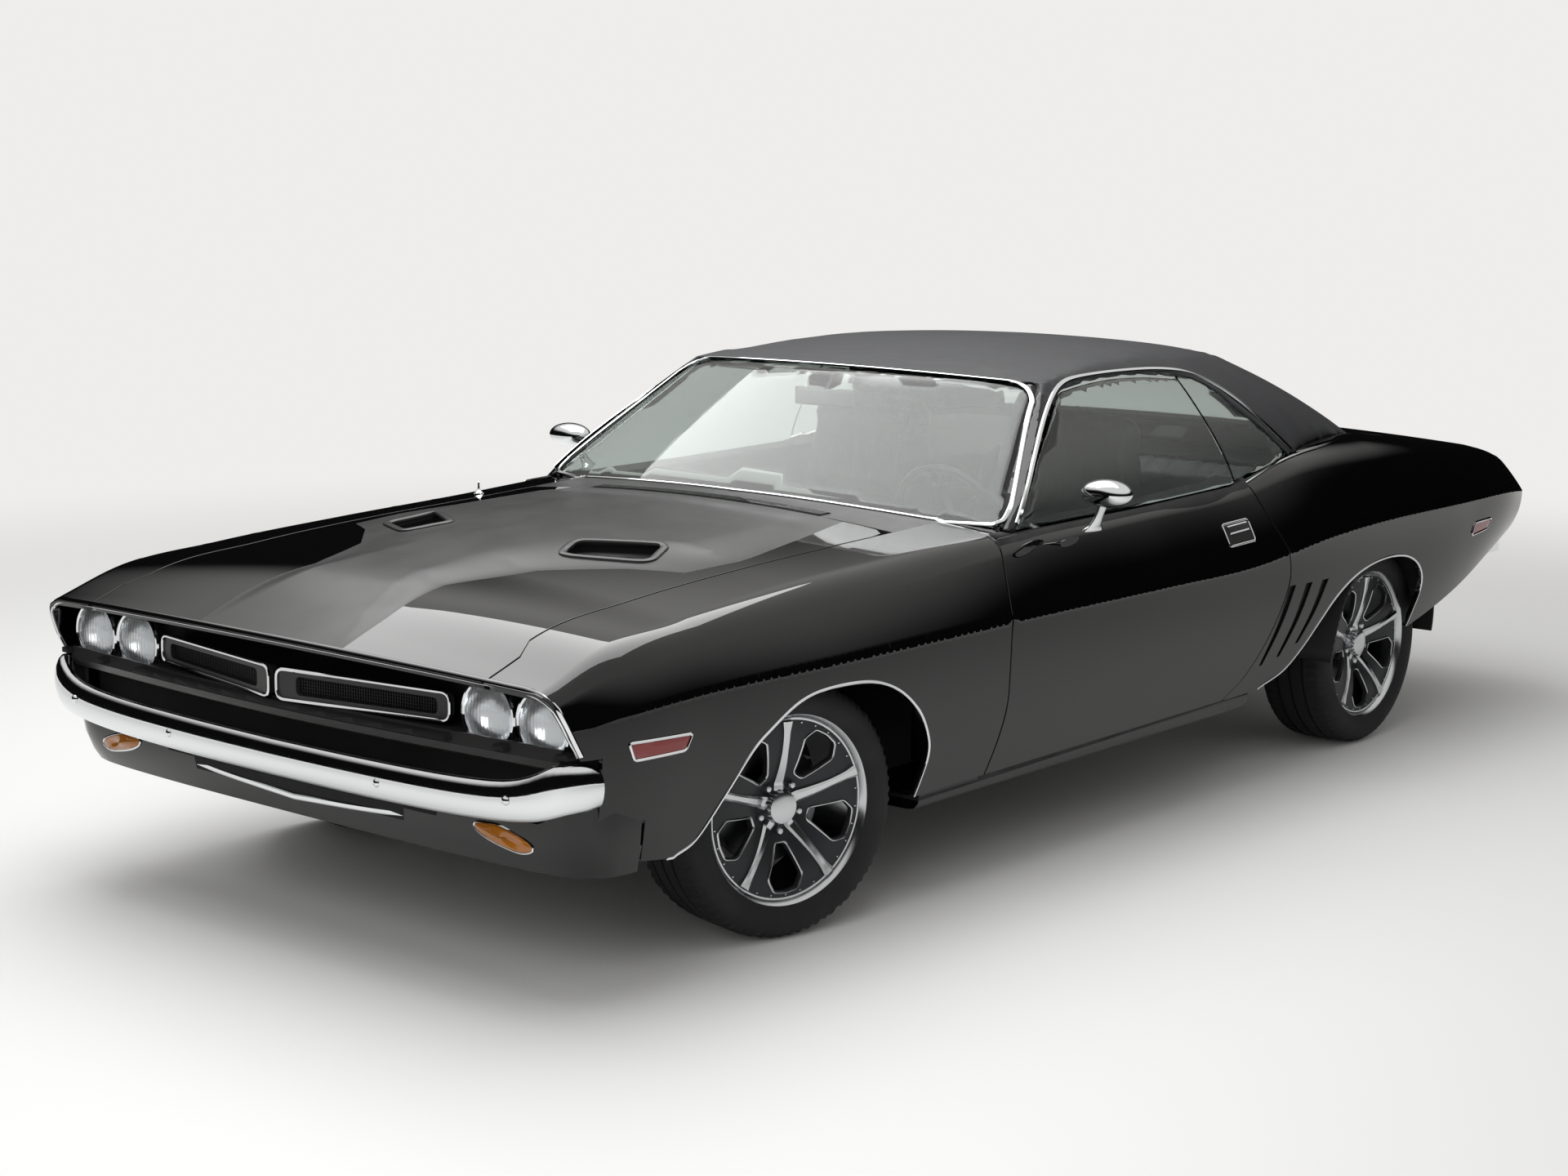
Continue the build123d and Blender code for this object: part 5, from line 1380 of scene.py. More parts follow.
@dataclass
class Front:
    """Bumper, lamps, grille and their trims."""

    finish: Finishes
    lamps_x: tuple[float, float] = (627, 798)
    mesh_pitch: float = 7.4

    def build(self) -> None:
        """Makes all pieces of the nose."""
        self.bumper()
        self.lamps()
        self.grille()
        self.trims()

    def bumper(self) -> None:
        """Chrome front bumper with turned-up ends and its bolts."""
        # x, front y, low z, top z, and the outward direction's angle from straight ahead
        table = np.array([
            (0, -916, 424, 514, 0), (300, -914, 425, 516, 3), (560, -909, 430, 521, 5),
            (720, -902, 438, 530, 8), (800, -895, 446, 544, 14), (850, -887, 454, 562, 26),
            (888, -874, 464, 579, 45), (914, -850, 472, 584, 66), (927, -822, 474, 582, 80),
            (931, -795, 474, 576, 88), (930, -766, 476, 566, 90)], float)
        line = catmull(table, 22)
        # Section of the bar: outward, and the share of its height
        face = [(-26, 0.04), (-16, 0.0), (-9, 0.03), (-3, 0.12), (1.5, 0.26), (4, 0.42), (4.5, 0.55),
                (3, 0.68), (-1, 0.82), (-7, 0.93), (-14, 0.99), (-22, 1.0), (-28, 0.96)]
        rows = []
        for x, y, low, top, turn in line:
            out = np.array([math.sin(math.radians(turn)), -math.cos(math.radians(turn))])
            rows.append([(x + d * out[0], y + d * out[1], low + f * (top - low)) for d, f in face])
        shape = outward(weld(grid_shape(whole(np.array(rows)), closed=True, capped=True)))
        head = lathe([(0, 0.01), (0, 11), (3, 10), (7, 6), (8, 0.01)], 16)
        for x, y, z in ((771, -902, 494), (374, -915, 470)):
            shape.add(head.moved((x, y, z), TO_FRONT)).add(head.moved((-x, y, z), TO_FRONT))
        shape.fit("front_bumper_bar", self.finish.chrome, "chrome", "front_bumper", sharp=40)

    def lamps(self) -> None:
        """Four round lamps: bright bezel, domed lens and bowl."""
        bezel = lathe([(58, 75), (60, 84), (66, 85), (70, 82), (71, 78), (68, 74), (60, 72)], 96)
        lens = lathe([(62, 73), (67, 66), (71, 54), (74, 40), (76, 22), (76.5, 0.01), (73.5, 0.01), (73, 22),
                      (71, 40), (68, 54), (64, 66), (60, 73)], 96)
        bowl = lathe([(60, 72), (40, 66), (22, 44), (16, 16), (15, 0.01), (8, 0.01), (8, 20), (14, 50),
                      (32, 72), (58, 75)], 64)
        pieces = (("bezels", bezel, self.finish.chrome, "chrome", "headlamps"),
                  ("lenses", lens, self.finish.lamp_glass, "lamp_glass"),
                  ("bowls", bowl, self.finish.alloy, "chrome"))
        for name, one, material, slot, *nodes in pieces:
            shape = Shape()
            for side in (1, -1):
                for x in self.lamps_x:
                    shape.add(one.moved((side * x, -746, 645), TO_FRONT))
            shape.fit(f"lamp_{name}", material, slot, *nodes)

    def grille(self) -> None:
        """Swept-back grille: a bright frame a side, a dark plate with its opening, and mesh."""
        def swept(loop: Array, back: float) -> Array:
            """Loop in (x, z) laid on the swept-back plane."""
            y = np.interp(loop[:, 0], [0, 515], [-902, -822]) + back
            return np.stack([loop[:, 0], y, loop[:, 1]], 1)

        outer = resampled(rounded([(14, 608), (514, 615), (514, 679), (14, 680)], 22, 8), 128)
        inner = resampled(rounded([(70, 622), (478, 627), (478, 664), (70, 666)], 12, 8), 128)
        path = swept(outer, 0)
        ring = sweep(path, STRIP, np.tile(AHEAD, (len(path), 1)), closed=True)
        both(ring).fit("grille_frames", self.finish.chrome, "chrome", "grille")
        rows = np.array([swept(outer, 3), swept(inner, 3), swept(inner, 16), swept(outer, 16),
                         swept(outer, 3)])
        dark = outward(weld(grid_shape(rows, closed=True)))
        both(dark).fit("grille_plates", self.finish.satin_black, "black")
        fin = bar([(-1.5, -33), (12, -33), (12, 33), (-1.5, 33)], -1.1, 1.1, 0)
        fins = repeated(fin, Repeat.ROW, 66, self.mesh_pitch, self.finish.black_paint_and_shade)
        swept_back = Matrix.Rotation(math.atan2(80, 515), 3, "Z")
        mesh = fins.moved((20, -884, 645), swept_back)
        for z in np.arange(617, 676, self.mesh_pitch):
            rod = bar([(-1.2, z - 1), (8, z - 1), (8, z + 1), (-1.2, z + 1)], 0, 490, 0)
            mesh.add(rod.moved((22, -882, 0), swept_back))
        both(mesh).fit("grille_mesh", self.finish.chassis, "black", flat=True)
        self.apron()

    def apron(self) -> None:
        """Folded panel below the grille, and a flat black sheet behind the bumper that is painted shade for
        the dark space there.
        """
        half = 872
        x = np.linspace(-half, half, 97)
        front = -886 + 48 * (np.abs(x) / half) ** 1.6
        section = [(8, 607), (0, 580), (12, 560), (40, 548), (44, 552), (16, 565), (6, 582), (13, 607)]
        rows = np.array([[(a, b + dy, z) for dy, z in section] for a, b in zip(x, front)])
        shape = outward(weld(grid_shape(rows, closed=True, capped=True)))
        shape.fit("nose_apron", self.finish.satin_black, "black")
        # Thin flat black sheet behind the bumper: painted shade where the space behind the nose lies in
        # shadow
        back = bar([(-757, 320), (-755, 320), (-755, 588), (-757, 588)], -868, 868, 0)
        back.fit("nose_shade_panel", self.finish.black_paint_and_shade, "black", flat=True)

    def trims(self) -> None:
        """Moulding round the nose and the strip along the valance."""
        x = np.linspace(0, 850, 50)
        over = BODY.by_width(np.stack([x, nose_y(x)], 1))
        down = BODY.by_height(catmull([(-884, 722), (-878, 700), (-852, 640), (-828, 596)], 12))
        places, normals = BODY.place(np.concatenate([over, down]))
        places = smooth(places, 2) + [0, 4.1, 2.2]
        ups = unit(smooth(normals, 4) * 0.45 + AHEAD)
        lip = [(-9, -3), (-8, 1.4), (-5, 2.4), (5, 2.4), (8, 1.4), (9, -3)]
        shape = sweep(whole(places), lip, whole(ups))
        shape.fit("nose_trim", self.finish.chrome, "chrome", "nose_molding")
        strip = whole(catmull([(0, -843, 362), (250, -838, 374), (440, -832, 388), (491, -829, 394),
                               (482, -829, 408), (467, -830, 418)], 10))
        shape = sweep(strip, WIDE_STRIP, np.tile(AHEAD, (len(strip), 1)))
        shape.fit("valance_trim", self.finish.chrome, "chrome")


@dataclass
class Sides:
    """Trims, handles, lamps and mirrors on the car's flanks.

    Attributes:
        finish: All materials.
        proud: How far handle plates and marker lenses stand off the body.
    """

    finish: Finishes
    proud: float = 1.5

    def build(self) -> None:
        """Makes the side fittings."""
        self.mouldings()
        self.mirrors()
        self.handles()
        self.markers()

    def on_body(self, loop: Array, profile: Sequence, closed: bool = False) -> Shape:
        """Strip along a line of the body surface.

        Args:
            loop: Parameter points.
            profile: Section of the strip.
            closed: Whether the line is a loop.

        Returns:
            The strip on the left side.
        """
        places, normals = BODY.place(loop)
        return sweep(places, profile, normals, closed=closed)

    def mouldings(self) -> None:
        """Bright belt strips and wheel arch lips, and the painted sills."""
        belt = [(862, 780), (858, 874), (852, 1200), (849, 1700), (845, 2028)]
        for side, shape in self.on_body(BODY.by_width(catmull(belt, 20)), STRIP).pair():
            shape.fit(f"belt_trim_{side}", self.finish.chrome, "chrome", body=f"door_{side}")
        belt = [(845, 2040), (833, 2197), (826, 2330), (822, 2400), (806, 2600), (756, 2790), (706, 2985)]
        shape = both(self.on_body(BODY.by_width(catmull(belt, 20)), STRIP))
        for arch in (FRONT_ARCH, REAR_ARCH):
            shape.add(both(self.on_body(BODY.by_height(catmull(arch, 12)), STRIP)))
        shape.fit("flank_trims", self.finish.chrome, "chrome")
        section = [(700, 293), (904, 293), (908, 280), (905, 262), (892, 247), (870, 243), (700, 243)]
        sill = bar(section, 388, 1988, 1)
        both(sill).fit("sill_panels", self.finish.paint, "paint", sharp=50)

    def mirrors(self) -> None:
        """Bright door mirrors: an egg-shaped head on a flared foot."""
        middle = np.array([984.0, 1084.0, 980.0])
        rows = []
        for a in np.linspace(0, math.pi, 25)[:-4]:
            wide, high = 75 * math.sin(a) ** 0.8, 37 * math.sin(a) ** 0.8
            ring = [(wide * math.cos(b), -46 * math.cos(a), high * math.sin(b))
                    for b in np.linspace(0, 2 * math.pi, 48, endpoint=False)]
            rows.append(middle + np.array(ring))
        rows.append(middle + (rows[-1] - middle) * [0.9, 1.0, 0.9])
        rows.append(rows[-1] - [0, 5, 0])
        shape = weld(grid_shape(np.array(rows), closed=True))
        shape.cap(len(shape.verts) - 48, 48)
        shape = outward(shape)
        # Foot, from the door up: middle x, y and z, then half its width and half its length
        levels = [(918, 1118, 872, 20, 42), (922, 1116, 880, 17, 38), (934, 1110, 890, 12, 24),
                  (950, 1102, 915, 10, 17), (964, 1094, 940, 12, 17), (974, 1090, 962, 16, 20)]
        turns = np.linspace(0, 2 * math.pi, 32, endpoint=False)
        stem = np.array([[(x + a * math.cos(t), y + b * math.sin(t), z) for t in turns]
                         for x, y, z, a, b in catmull(levels, 8)])
        shape.add(outward(grid_shape(stem, closed=True, capped=True)))
        for side, one in shape.pair():
            one.fit(f"door_mirror_{side}", self.finish.chrome, "chrome", f"mirror_{side}",
                    body=f"door_{side}", sharp=50)

    def handles(self) -> None:
        """Square flush door handles."""
        loop = BODY.by_height(rounded([(1815, 748), (1954, 752), (1954, 812), (1815, 808)], 9, 6))
        shape = self.on_body(loop, [(-3, -1), (-3, 2), (-1, 3.4), (1, 3.4), (3, 2), (3, -1)], closed=True)
        pad = plate(loop, self.proud, 16, 3.0)
        lever = BODY.by_height(polyline([(1832, 790), (1936, 794)], 12))
        shape.add(self.on_body(lever, [(-13, 0), (-13, 4), (-9, 7), (9, 7), (13, 4), (13, 0)]))
        for (side, bright), (_, dark) in zip(shape.pair(), pad.pair()):
            bright.fit(f"handle_{side}", self.finish.chrome, "chrome", body=f"door_{side}")
            dark.fit(f"handle_pad_{side}", self.finish.satin_black, "black", body=f"door_{side}")

    def markers(self) -> None:
        """Marker lamps with bright frames, and the parking lamps."""
        lens, frames = Shape(), Shape()
        for corners in ([(-700, 611), (-508, 603), (-529, 568), (-684, 570)],
                        [(3357, 654), (3498, 655), (3477, 621), (3344, 612)]):
            loop = BODY.by_height(rounded(corners, 10, 8))
            lens.add(both(plate(loop, self.proud, 16, 3.0)))
            section = [(-3.5, -1), (-3.2, 3), (-1, 4.6), (1, 4.6), (3.2, 3), (3.5, -1)]
            frames.add(both(self.on_body(loop, section, closed=True)))
        lens.fit("marker_lenses", self.finish.red, "lens_red", "small_lamps")
        drop = catmull([(604, 404), (640, 408), (676, 408), (730, 394), (763, 380), (770, 366), (739, 356),
                        (690, 362), (640, 374), (606, 390)], 7, closed=True)
        y = -np.interp(drop[:, 0], [600, 700, 780], [829, 822, 815])
        rows = []
        middle = drop.mean(0)
        for f, d in ((1.0, 10), (1.0, -2), (0.86, -7), (0.5, -9), (0.02, -9.5)):
            ring = middle + (drop - middle) * f
            rows.append(np.stack([ring[:, 0], y + d - 4, ring[:, 1]], 1))
        park = weld(grid_shape(np.array(rows), closed=True))
        park.cap(0, len(drop))
        both(outward(park)).fit("parking_lenses", self.finish.amber, "lens_amber")
        path = np.stack([drop[:, 0], y - 3, drop[:, 1]], 1)
        section = [(-3, -1), (-3, 3), (0, 4.5), (3, 3), (3, -1)]
        frames.add(both(sweep(path, section, np.tile(AHEAD, (len(path), 1)), closed=True)))
        frames.fit("lamp_frames", self.finish.chrome, "chrome")


@dataclass
class Upper:
    """Roof, windows and the trims round them.

    Attributes:
        finish: All materials.
        longest_edge: Longest edge that isn't cut in two.
        still: How near an opening nothing is softened.
        blend: Distance over which the softening then sets in.
        pillars_y: Where it starts, behind the windshield pillars.
        rounds: Number of softening steps.
    """

    PANES = {"windshield": "root", "backlight": "root", "quarter_glass": "root",
             "door_glass_left": "door_left", "door_glass_right": "door_right"}

    finish: Finishes
    longest_edge: float = 34.0
    still: float = 14.0
    blend: float = 50.0
    pillars_y: float = 1400.0
    rounds: int = 60

    def build(self) -> None:
        """Makes the cabin's upper half."""
        self.roof()
        for node, body in self.PANES.items():
            dress(node, f"{node}_pane", "glass", self.finish.glass, 40, body)
        self.trims()

    def roof(self) -> None:
        """Roof split into its vinyl cover and the bare windshield pillars."""
        obj = dress("roof", "roof_shell", "vinyl", self.finish.vinyl, 60)
        self.soften(obj)
        obj.data.materials.append(self.finish.paint)
        for face in obj.data.polygons:
            y, z = face.center.y / MM - AXLE_SHIFT, face.center.z / MM
            if y < np.interp(z, [900, 1180, 1231, 1262], [1290, 1275, 1240, 1150]):
                face.material_index = 1

    def soften(self, obj: bpy.types.Object) -> None:
        """Rounds the roof's folds away from its openings, as padded vinyl does."""
        work = bmesh.new()
        work.from_mesh(obj.data)
        for _ in range(6):
            long = [e for e in work.edges if e.calc_length() > self.longest_edge * MM]
            if not long:
                break
            bmesh.ops.subdivide_edges(work, edges=long, cuts=1)
            bmesh.ops.triangulate(work, faces=work.faces[:])
        beside = (*self.PANES, "quarter_left", "quarter_right", "deck_filler")
        edges = [v.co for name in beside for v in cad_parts[name].data.vertices]
        foot = catmull([(821, 2380, 967), (808, 2580, 977), (760, 2759, 965), (700, 2990, 950)], 20)
        edges += [Vector((side * x, y + AXLE_SHIFT, z)) * MM for x, y, z in foot for side in (1, -1)]
        tree = KDTree(len(edges))
        for k, place in enumerate(edges):
            tree.insert(place, k)
        tree.balance()
        at = np.array([v.co for v in work.verts])
        away = np.array([tree.find(v.co)[2] for v in work.verts]) / MM
        weight = np.clip((away - self.still) / self.blend, 0, 1)
        weight *= at[:, 1] / MM - AXLE_SHIFT > self.pillars_y
        pairs = np.array([[v.index for v in e.verts] for e in work.edges])
        count = np.bincount(pairs.ravel(), minlength=len(at))[:, None]
        for _ in range(self.rounds):
            total = np.zeros_like(at)
            np.add.at(total, pairs[:, 0], at[pairs[:, 1]])
            np.add.at(total, pairs[:, 1], at[pairs[:, 0]])
            at += (total / count - at) * (0.5 * weight)[:, None]
        for vert, place in zip(work.verts, at):
            vert.co = place
        for face in work.faces:
            face.smooth = True
        work.to_mesh(obj.data)
        work.free()
        obj.data.set_sharp_from_angle(angle=math.radians(50))

    def trims(self) -> None:
        """Bright strips round the side windows, the windshield and the rear window."""
        node = Node("roof", "quarter_left", "fender_left", "cowl", "deck_filler")
        side = [(845, 875, 908), (767, 1064, 1060), (700, 1210, 1160), (651, 1315, 1208), (630, 1403, 1229),
                (623, 1589, 1236), (626, 1829, 1233), (639, 1976, 1221), (656, 2062, 1202), (703, 2163, 1147),
                (776, 2270, 1046), (815, 2360, 972)]
        places, normals = node.snap(catmull(side, 12), (1.0, 0.0, 0.6))
        normals = unit(smooth(normals, 5))
        shape = both(sweep(smooth(places, 4) + normals * 2.5, WIDE_STRIP, normals))
        edge = catmull([(821, 2380, 967), (817, 2470, 974), (808, 2580, 977), (790, 2680, 973),
                        (760, 2759, 965), (730, 2880, 957), (700, 2990, 950)], 14)
        places, normals = node.snap(edge, (0.5, 0.1, 1.0), along=True)
        normals = unit(smooth(normals, 4))
        shape.add(both(sweep(smooth(places, 3) + normals * 2.0, STRIP, normals)))
        shield = [(0, 735, 931), (400, 762, 927), (700, 810, 920), (805, 851, 912), (815, 880, 930),
                  (740, 1030, 1060), (640, 1215, 1212), (610, 1232, 1226), (400, 1195, 1236), (0, 1160, 1241)]
        places, normals = node.snap(catmull(shield, 14), (0.0, -0.6, 0.8))
        normals = unit(smooth(normals, 6))
        shape.add(sweep(whole(smooth(places, 4) + normals * 2.5), WIDE_STRIP, whole(normals)))
        shape.fit("window_trims", self.finish.chrome, "chrome")


@dataclass
class Cowl:
    """Air louvres, aerial and inner mirror round the windshield."""

    finish: Finishes
    louvres: int = 92
    pitch: float = 9.0

    def level(self, plane: Array) -> Array:
        """Height of the body surface at (x, y)."""
        return BODY.place(BODY.by_width(plane))[0][:, 2]

    def build(self) -> None:
        """Makes the three fittings."""
        x = np.linspace(-428, 408, 60)
        # Flat black strip just under the louvre fins: painted shade for the dark slots between them
        section = ((595, -3.0), (595, 0.8), (647, 0.8), (647, -3.0), (595, -3.0))
        rows = np.array([np.stack([x, 0 * x + y, self.level(np.stack([x, 0 * x + y], 1)) + z], 1)
                         for y, z in section])
        slot_shade = outward(weld(grid_shape(np.swapaxes(rows, 0, 1)[:, :-1], closed=True, capped=True)))
        slot_shade.fit("cowl_louvre_shade_strip", self.finish.black_paint_and_shade, "black", flat=True)
        fin = bar([(-22, -2), (22, -2), (22, 3.2), (-22, 3.2)], -1.6, 1.6, 0)
        row = repeated(fin, Repeat.ROW, self.louvres, self.pitch, self.finish.paint)
        verts = np.array(row.verts) + [-424 + self.pitch, 621, 0.4]
        verts[:, 2] += self.level(verts[:, :2])
        row.verts = list(verts)
        row.fit("cowl_louvres", self.finish.paint, "paint", flat=True)
        stem = lathe([(-6, 0.01), (-6, 14), (3, 14), (9, 9), (12, 5), (16, 3), (34, 2.6), (36, 0.01)], 32)
        at = np.array([[-716.0, 440.0]])
        mast = stem.moved((*at[0], self.level(at)[0]), Matrix.Rotation(-math.pi / 2, 3, "Y"))
        mast.fit("aerial", self.finish.chrome, "chrome")
        head = bar(rounded([(-11, -26), (11, -26), (11, 26), (-11, 26)], 8, 4), -108, 108, 0)
        head.add(bar([(-5, 22), (6, 22), (40, 66), (26, 66)], -7, 7, 0))
        head = head.moved((0, 1128, 1160))
        head.fit("inner_mirror", self.finish.satin_black, "black", sharp=40)


def smooth(values: Array, reach: int) -> Array:
    """Running mean along rows, with both ends kept."""
    out = values.copy()
    for k in range(len(values)):
        a, b = max(0, k - reach), min(len(values), k + reach + 1)
        span = min(k - a, b - 1 - k)
        out[k] = values[k - span : k + span + 1].mean(0)
    return out


@dataclass
class Rest:
    """Cabin, underbody, tail and other pieces that keep the CAD form.

    Attributes:
        finish: All materials.
        tail_tuck: Share of the rear bumper's width that shows.
    """

    finish: Finishes
    tail_tuck: float = 0.93

    def build(self) -> None:
        """Dresses each node with its real material."""
        f = self.finish
        moving = ("steering_wheel", "knuckle_left", "knuckle_right", "door_left", "door_right", "deck_lid")
        insets = {"door_left": (6, 0, 0), "door_right": (6, 0, 0), "deck_lid": (0, 6, 6)}
        rows = (
            ("chrome", f.chrome, 40, "rear_bumper"),
            ("paint", f.paint, 30, "tail_panel"),
            ("lens_red", f.red, 30, "tail_lamps"),
            ("black", f.black_paint_and_shade, 30, "nose_panel", "radiator"),
            ("iron", f.iron, 30, "engine"),
            ("chassis", f.chassis, 30, "floor_pan", "firewall", "engine_bay", "front_suspension",
             "rear_axle", "wheelhouses"),
            ("steel", f.steel, 40, "exhaust", "fuel_tank"),
            ("seat_vinyl", f.seat, 30, "dash"),
            ("black", f.satin_black, 40, "steering_column", "steering_wheel"),
            ("seat_vinyl", f.seat, 30, "parcel_shelf"),
            ("iron", f.iron, 30, "knuckle_left", "knuckle_right"),
            ("chassis", f.chassis, 30, "rockers"),
            ("seat_vinyl", f.chassis, 30, "door_left", "door_right"),
            ("chassis", f.chassis, 30, "deck_lid"),
        )
        for slot, material, sharp, node in [(*row[:3], node) for row in rows for node in row[3:]]:
            body = node if node in moving else "root"
            obj = dress(node, f"{node}_piece", slot, material, sharp, body, insets.get(node, (0, 0, 0)))
            if node == "rear_bumper":
                for vert in obj.data.vertices:
                    vert.co.x *= self.tail_tuck


@dataclass
class Seats:
    """Padded seats: soft crowned forms with sewn upright channels.

    Attributes:
        finish: All materials.
        voxel: Size of the even mesh.
        channel: Distance between seams.
        depth: Depth of a seam.
        crown: How far a cushion swells in its middle.
        margin: How far past the channels the swelling fades out.
        seam: Half width of a seam's valley.
    """

    finish: Finishes
    voxel: float = 11.0
    channel: float = 62.0
    depth: float = 6.0
    crown: float = 9.0
    margin: float = 40.0
    seam: float = 6.0

    def build(self) -> None:
        """Makes the front pair and the rear bench."""
        for node, middle, half in (("front_seats", 388.0, 150.0), ("rear_seat", 0.0, 520.0)):
            obj = dress(node, f"{node}_cushions", "seat_vinyl", self.finish.seat, 60)
            even = obj.modifiers.new("even", "REMESH")
            even.mode, even.voxel_size = "VOXEL", self.voxel * MM
            soft = obj.modifiers.new("soft", "SMOOTH")
            soft.factor, soft.iterations = 0.5, 8
            mesh = bpy.data.meshes.new_from_object(obj.evaluated_get(bpy.context.evaluated_depsgraph_get()))
            obj.modifiers.clear()
            at = np.array([v.co for v in mesh.vertices])
            out = np.array([v.normal for v in mesh.vertices])
            across = (np.abs(at[:, 0]) / MM - middle) if middle else at[:, 0] / MM
            upper = np.clip((out @ unit(np.array([[0.0, -0.6, 0.8]]))[0] - 0.5) / 0.3, 0, 1)
            crown = np.clip(1 - (across / (half + self.margin)) ** 2, 0, 1) * self.crown
            seam = np.exp(-(((across + self.channel / 2) % self.channel - self.channel / 2) / self.seam) ** 2)
            lift = upper * (np.abs(across) < half) * (crown - self.depth * seam)
            at += out * lift[:, None] * MM
            mesh.vertices.foreach_set("co", at.ravel())
            mesh.shade_smooth()
            obj.data = mesh


# The studio is in metres. FILL is the share of the background's light that falls on the car.
BACKGROUND = "#eeedeb"
FILL = 0.75
FLOOR_DROP = -0.0005
FLOOR_HALF = 60.0
FADE_START = 2.9
FADE_END = 7.5
# Heights, as the sine of the angle above the floor, between which the tent turns from black to white
TENT_DARK = 0.36
TENT_WHITE = 0.62
TENT_LEVEL = 0.85
TENT_RADIUS = 9.0


# Focal length and sensor in millimetres, then yaw, pitch and roll in degrees, and the place
CAMERA_LENS = 60.99
SENSOR_WIDTH = 36.0
CAMERA_TURN = (-39.918, -9.776, 0.435)
CAMERA_PLACE = (4770.87, -4758.88, 1912.39)


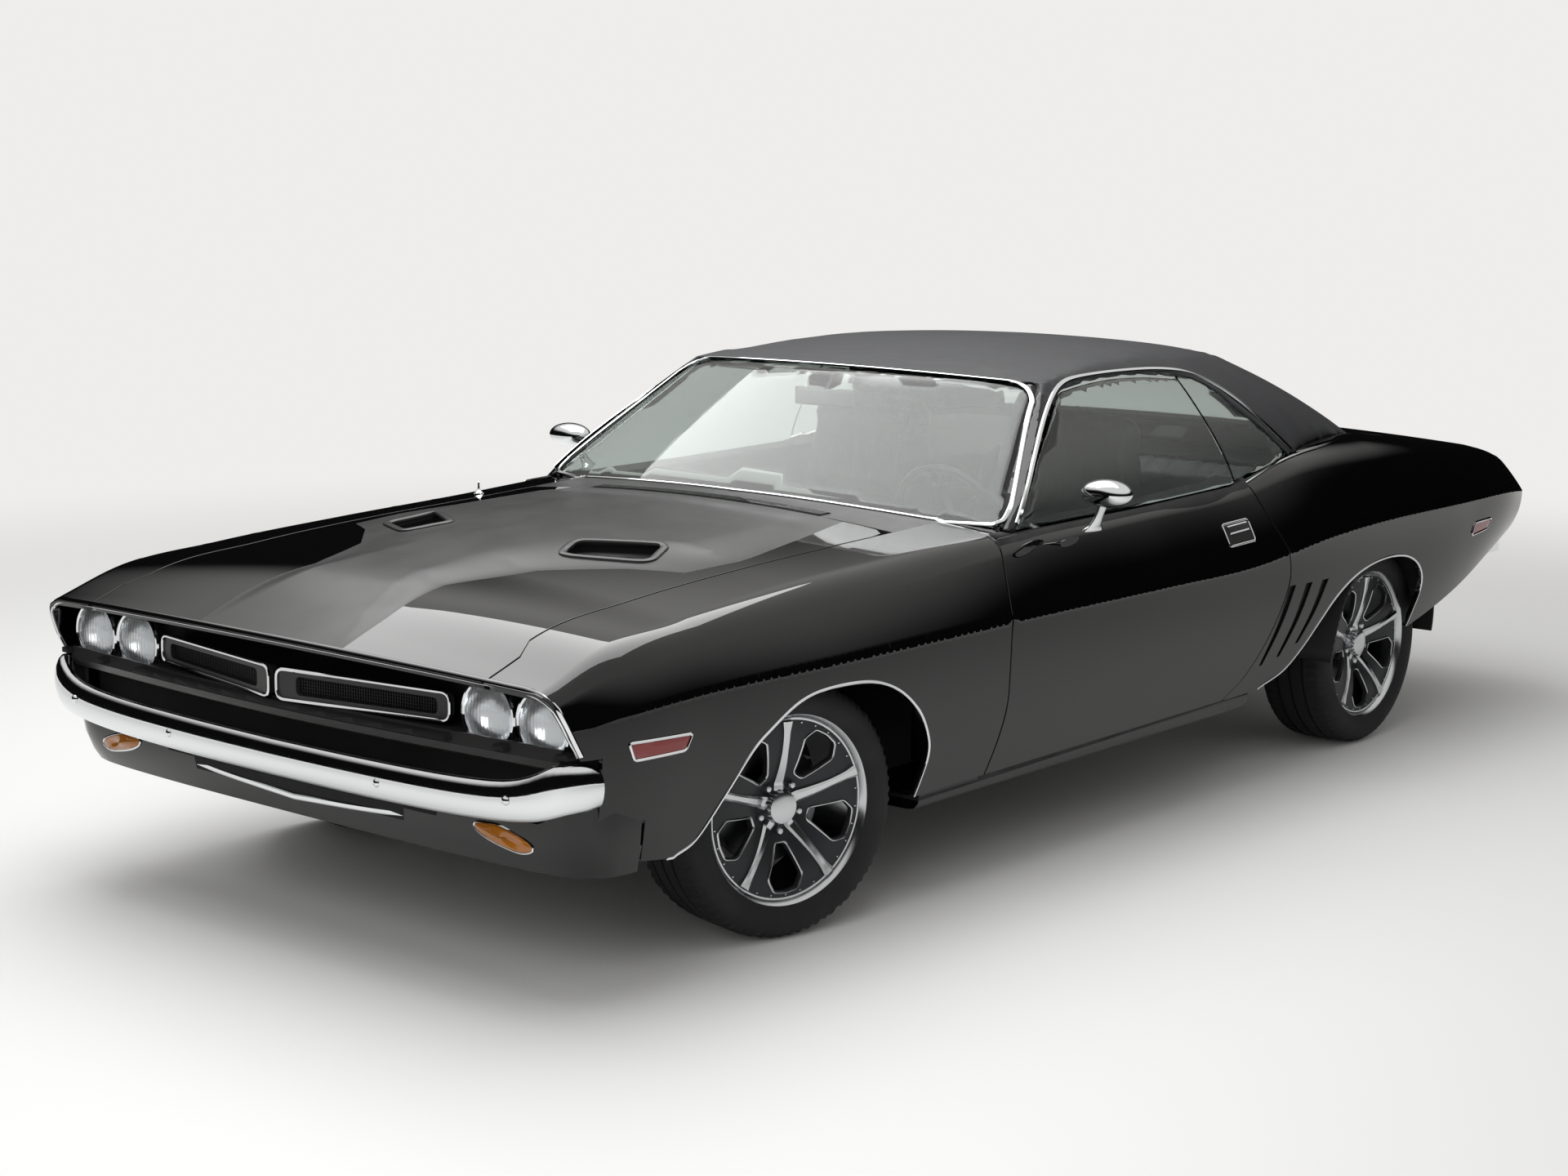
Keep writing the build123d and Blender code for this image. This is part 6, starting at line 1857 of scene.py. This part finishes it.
@dataclass
class Studio:
    """Pale sweep, soft lights and the camera at the photo's angle."""

    def build(self) -> None:
        """Sets up everything round the car."""
        self.floor()
        self.world()
        self.flags()
        self.lights()
        self.camera()

    def floor(self) -> None:
        """Large pale floor that melts into the background far from the car."""
        mesh = bpy.data.meshes.new("studio_floor")
        ends = ((-1, -1), (1, -1), (1, 1), (-1, 1))
        corners = [(x * FLOOR_HALF, y * FLOOR_HALF, FLOOR_DROP) for x, y in ends]
        mesh.from_pydata(corners, [], [(0, 1, 2, 3)])
        obj = added("studio_floor", mesh)
        # Painted studio floor: smooth and pale with a soft sheen near the car
        material = Finish("painted_studio_floor", "#cdcdcc", roughness=0.45, specular=0.3).make()
        tree = material.node_tree
        shader, out = tree.nodes["Principled BSDF"], tree.nodes["Material Output"]
        place = add_node(tree, "ShaderNodeTexCoord")
        reach = add_node(tree, "ShaderNodeVectorMath", links={0: place.outputs["Object"]}, operation="LENGTH")
        far = add_node(tree, "ShaderNodeMapRange", {"From Min": FADE_START, "From Max": FADE_END},
                       {"Value": reach.outputs["Value"]}, interpolation_type="SMOOTHSTEP")
        glow = add_node(tree, "ShaderNodeEmission", {"Color": linear(BACKGROUND), "Strength": 1.0})
        mix = add_node(tree, "ShaderNodeMixShader", links={
            0: far.outputs["Result"], 1: shader.outputs[0], 2: glow.outputs[0]})
        tree.links.new(mix.outputs[0], out.inputs["Surface"])
        mesh.materials.append(material)

    def world(self) -> None:
        """Pale background for camera, metal and glass, with dimmer fill light from it."""
        world = bpy.data.worlds.new("studio")
        world.use_nodes = True
        bpy.context.scene.world = world
        tree = world.node_tree
        back = tree.nodes["Background"]
        path = add_node(tree, "ShaderNodeLightPath")
        glossy = add_node(tree, "ShaderNodeMath", operation="MAXIMUM", links={
            0: path.outputs["Is Camera Ray"], 1: path.outputs["Is Glossy Ray"]})
        seen = add_node(tree, "ShaderNodeMath", operation="MAXIMUM", links={
            0: glossy.outputs[0], 1: path.outputs["Is Transmission Ray"]})
        level = add_node(tree, "ShaderNodeMapRange", {"To Min": FILL, "To Max": 1.0},
                         {"Value": seen.outputs[0]})
        back.inputs["Color"].default_value = linear(BACKGROUND)
        tree.links.new(level.outputs["Result"], back.inputs["Strength"])

    def flags(self) -> None:
        """Tent that only reflections see: black cloth up to eye height, white cloth overhead."""
        ring = np.array([(math.cos(a) * TENT_RADIUS, math.sin(a) * TENT_RADIUS)
                         for a in np.linspace(0, 2 * math.pi, 33)[:-1]])
        levels = [(1.0, 0.02), (1.0, 3.0), (0.86, 5.6), (0.5, 7.2), (0.02, 7.6)]
        rows = np.array([[(x * f, y * f, z) for x, y in ring] for f, z in levels])
        shape = grid_shape(rows, closed=True)
        mesh = bpy.data.meshes.new("studio_flags")
        mesh.from_pydata([tuple(v) for v in shape.verts], [], shape.faces)
        # Studio cloth: black below, fading into lit white overhead
        material = bpy.data.materials.new("studio_tent_cloth")
        material.use_nodes = True
        tree = material.node_tree
        tree.nodes.remove(tree.nodes["Principled BSDF"])
        place = add_node(tree, "ShaderNodeTexCoord")
        aim = add_node(tree, "ShaderNodeVectorMath", links={0: place.outputs["Object"]},
                       operation="NORMALIZE")
        split = add_node(tree, "ShaderNodeSeparateXYZ", links={0: aim.outputs["Vector"]})
        level = add_node(tree, "ShaderNodeMapRange", {
            "From Min": TENT_DARK, "From Max": TENT_WHITE, "To Min": 0.004, "To Max": TENT_LEVEL},
            {"Value": split.outputs["Z"]}, interpolation_type="SMOOTHSTEP")
        glow = add_node(tree, "ShaderNodeEmission", {"Color": linear("#f4f3f0")},
                        {"Strength": level.outputs["Result"]})
        tree.links.new(glow.outputs[0], tree.nodes["Material Output"].inputs["Surface"])
        mesh.materials.append(material)
        obj = added("studio_flags", mesh)
        obj.visible_camera = obj.visible_diffuse = obj.visible_shadow = obj.visible_transmission = False

    def lights(self) -> None:
        """Soft boxes above and beside the car."""
        # Name, place, aim, side in metres and watts
        rows = (
            ("over_hood", (0.6, -2.4, 4.6), (0.0, -1.6, 0.6), 3.4, 130.0),
            ("over_roof", (-1.9, 0.2, 4.6), (-1.89, 0.21, 0.0), 4.8, 250.0),
            ("front_fill", (2.6, -6.0, 2.8), (0.3, -1.2, 0.4), 2.6, 90.0),
        )
        for name, place, aim, size, power in rows:
            light = bpy.data.lights.new(name, "AREA")
            light.shape, light.size, light.energy = "SQUARE", size, power
            obj = added(name, light)
            obj.location = place
            obj.visible_glossy = name == "over_roof"
            obj.rotation_euler = (Vector(aim) - Vector(place)).to_track_quat("-Z", "Y").to_euler()

    def camera(self) -> None:
        """Camera at the photo's angle."""
        lens = bpy.data.cameras.new("camera")
        lens.lens, lens.sensor_width = CAMERA_LENS, SENSOR_WIDTH
        obj = added("camera", lens)
        yaw, pitch, roll = (math.radians(a) for a in CAMERA_TURN)
        look = Vector((math.sin(yaw) * math.cos(pitch), math.cos(yaw) * math.cos(pitch), math.sin(pitch)))
        right = look.cross(Vector((0, 0, 1))).normalized()
        up = right.cross(look)
        across = right * math.cos(roll) + up * math.sin(roll)
        upward = up * math.cos(roll) - right * math.sin(roll)
        x, y, z = CAMERA_PLACE
        place = Vector((x, y + AXLE_SHIFT, z)) * MM
        turn = Matrix((across, upward, -look)).transposed().to_4x4()
        obj.matrix_world = Matrix.Translation(place) @ turn
        bpy.context.scene.camera = obj


def main() -> None:
    """Builds the whole scene."""
    logging.basicConfig(level=logging.INFO, format="%(name)s: %(message)s")
    finish = Finishes()
    Body(finish).build()
    RoadWheel(finish).build()
    Front(finish).build()
    Sides(finish).build()
    Upper(finish).build()
    Cowl(finish).build()
    Rest(finish).build()
    Seats(finish).build()
    Studio().build()
    bpy.context.scene.view_settings.view_transform = "Standard"


if __name__ == "__main__":
    main()
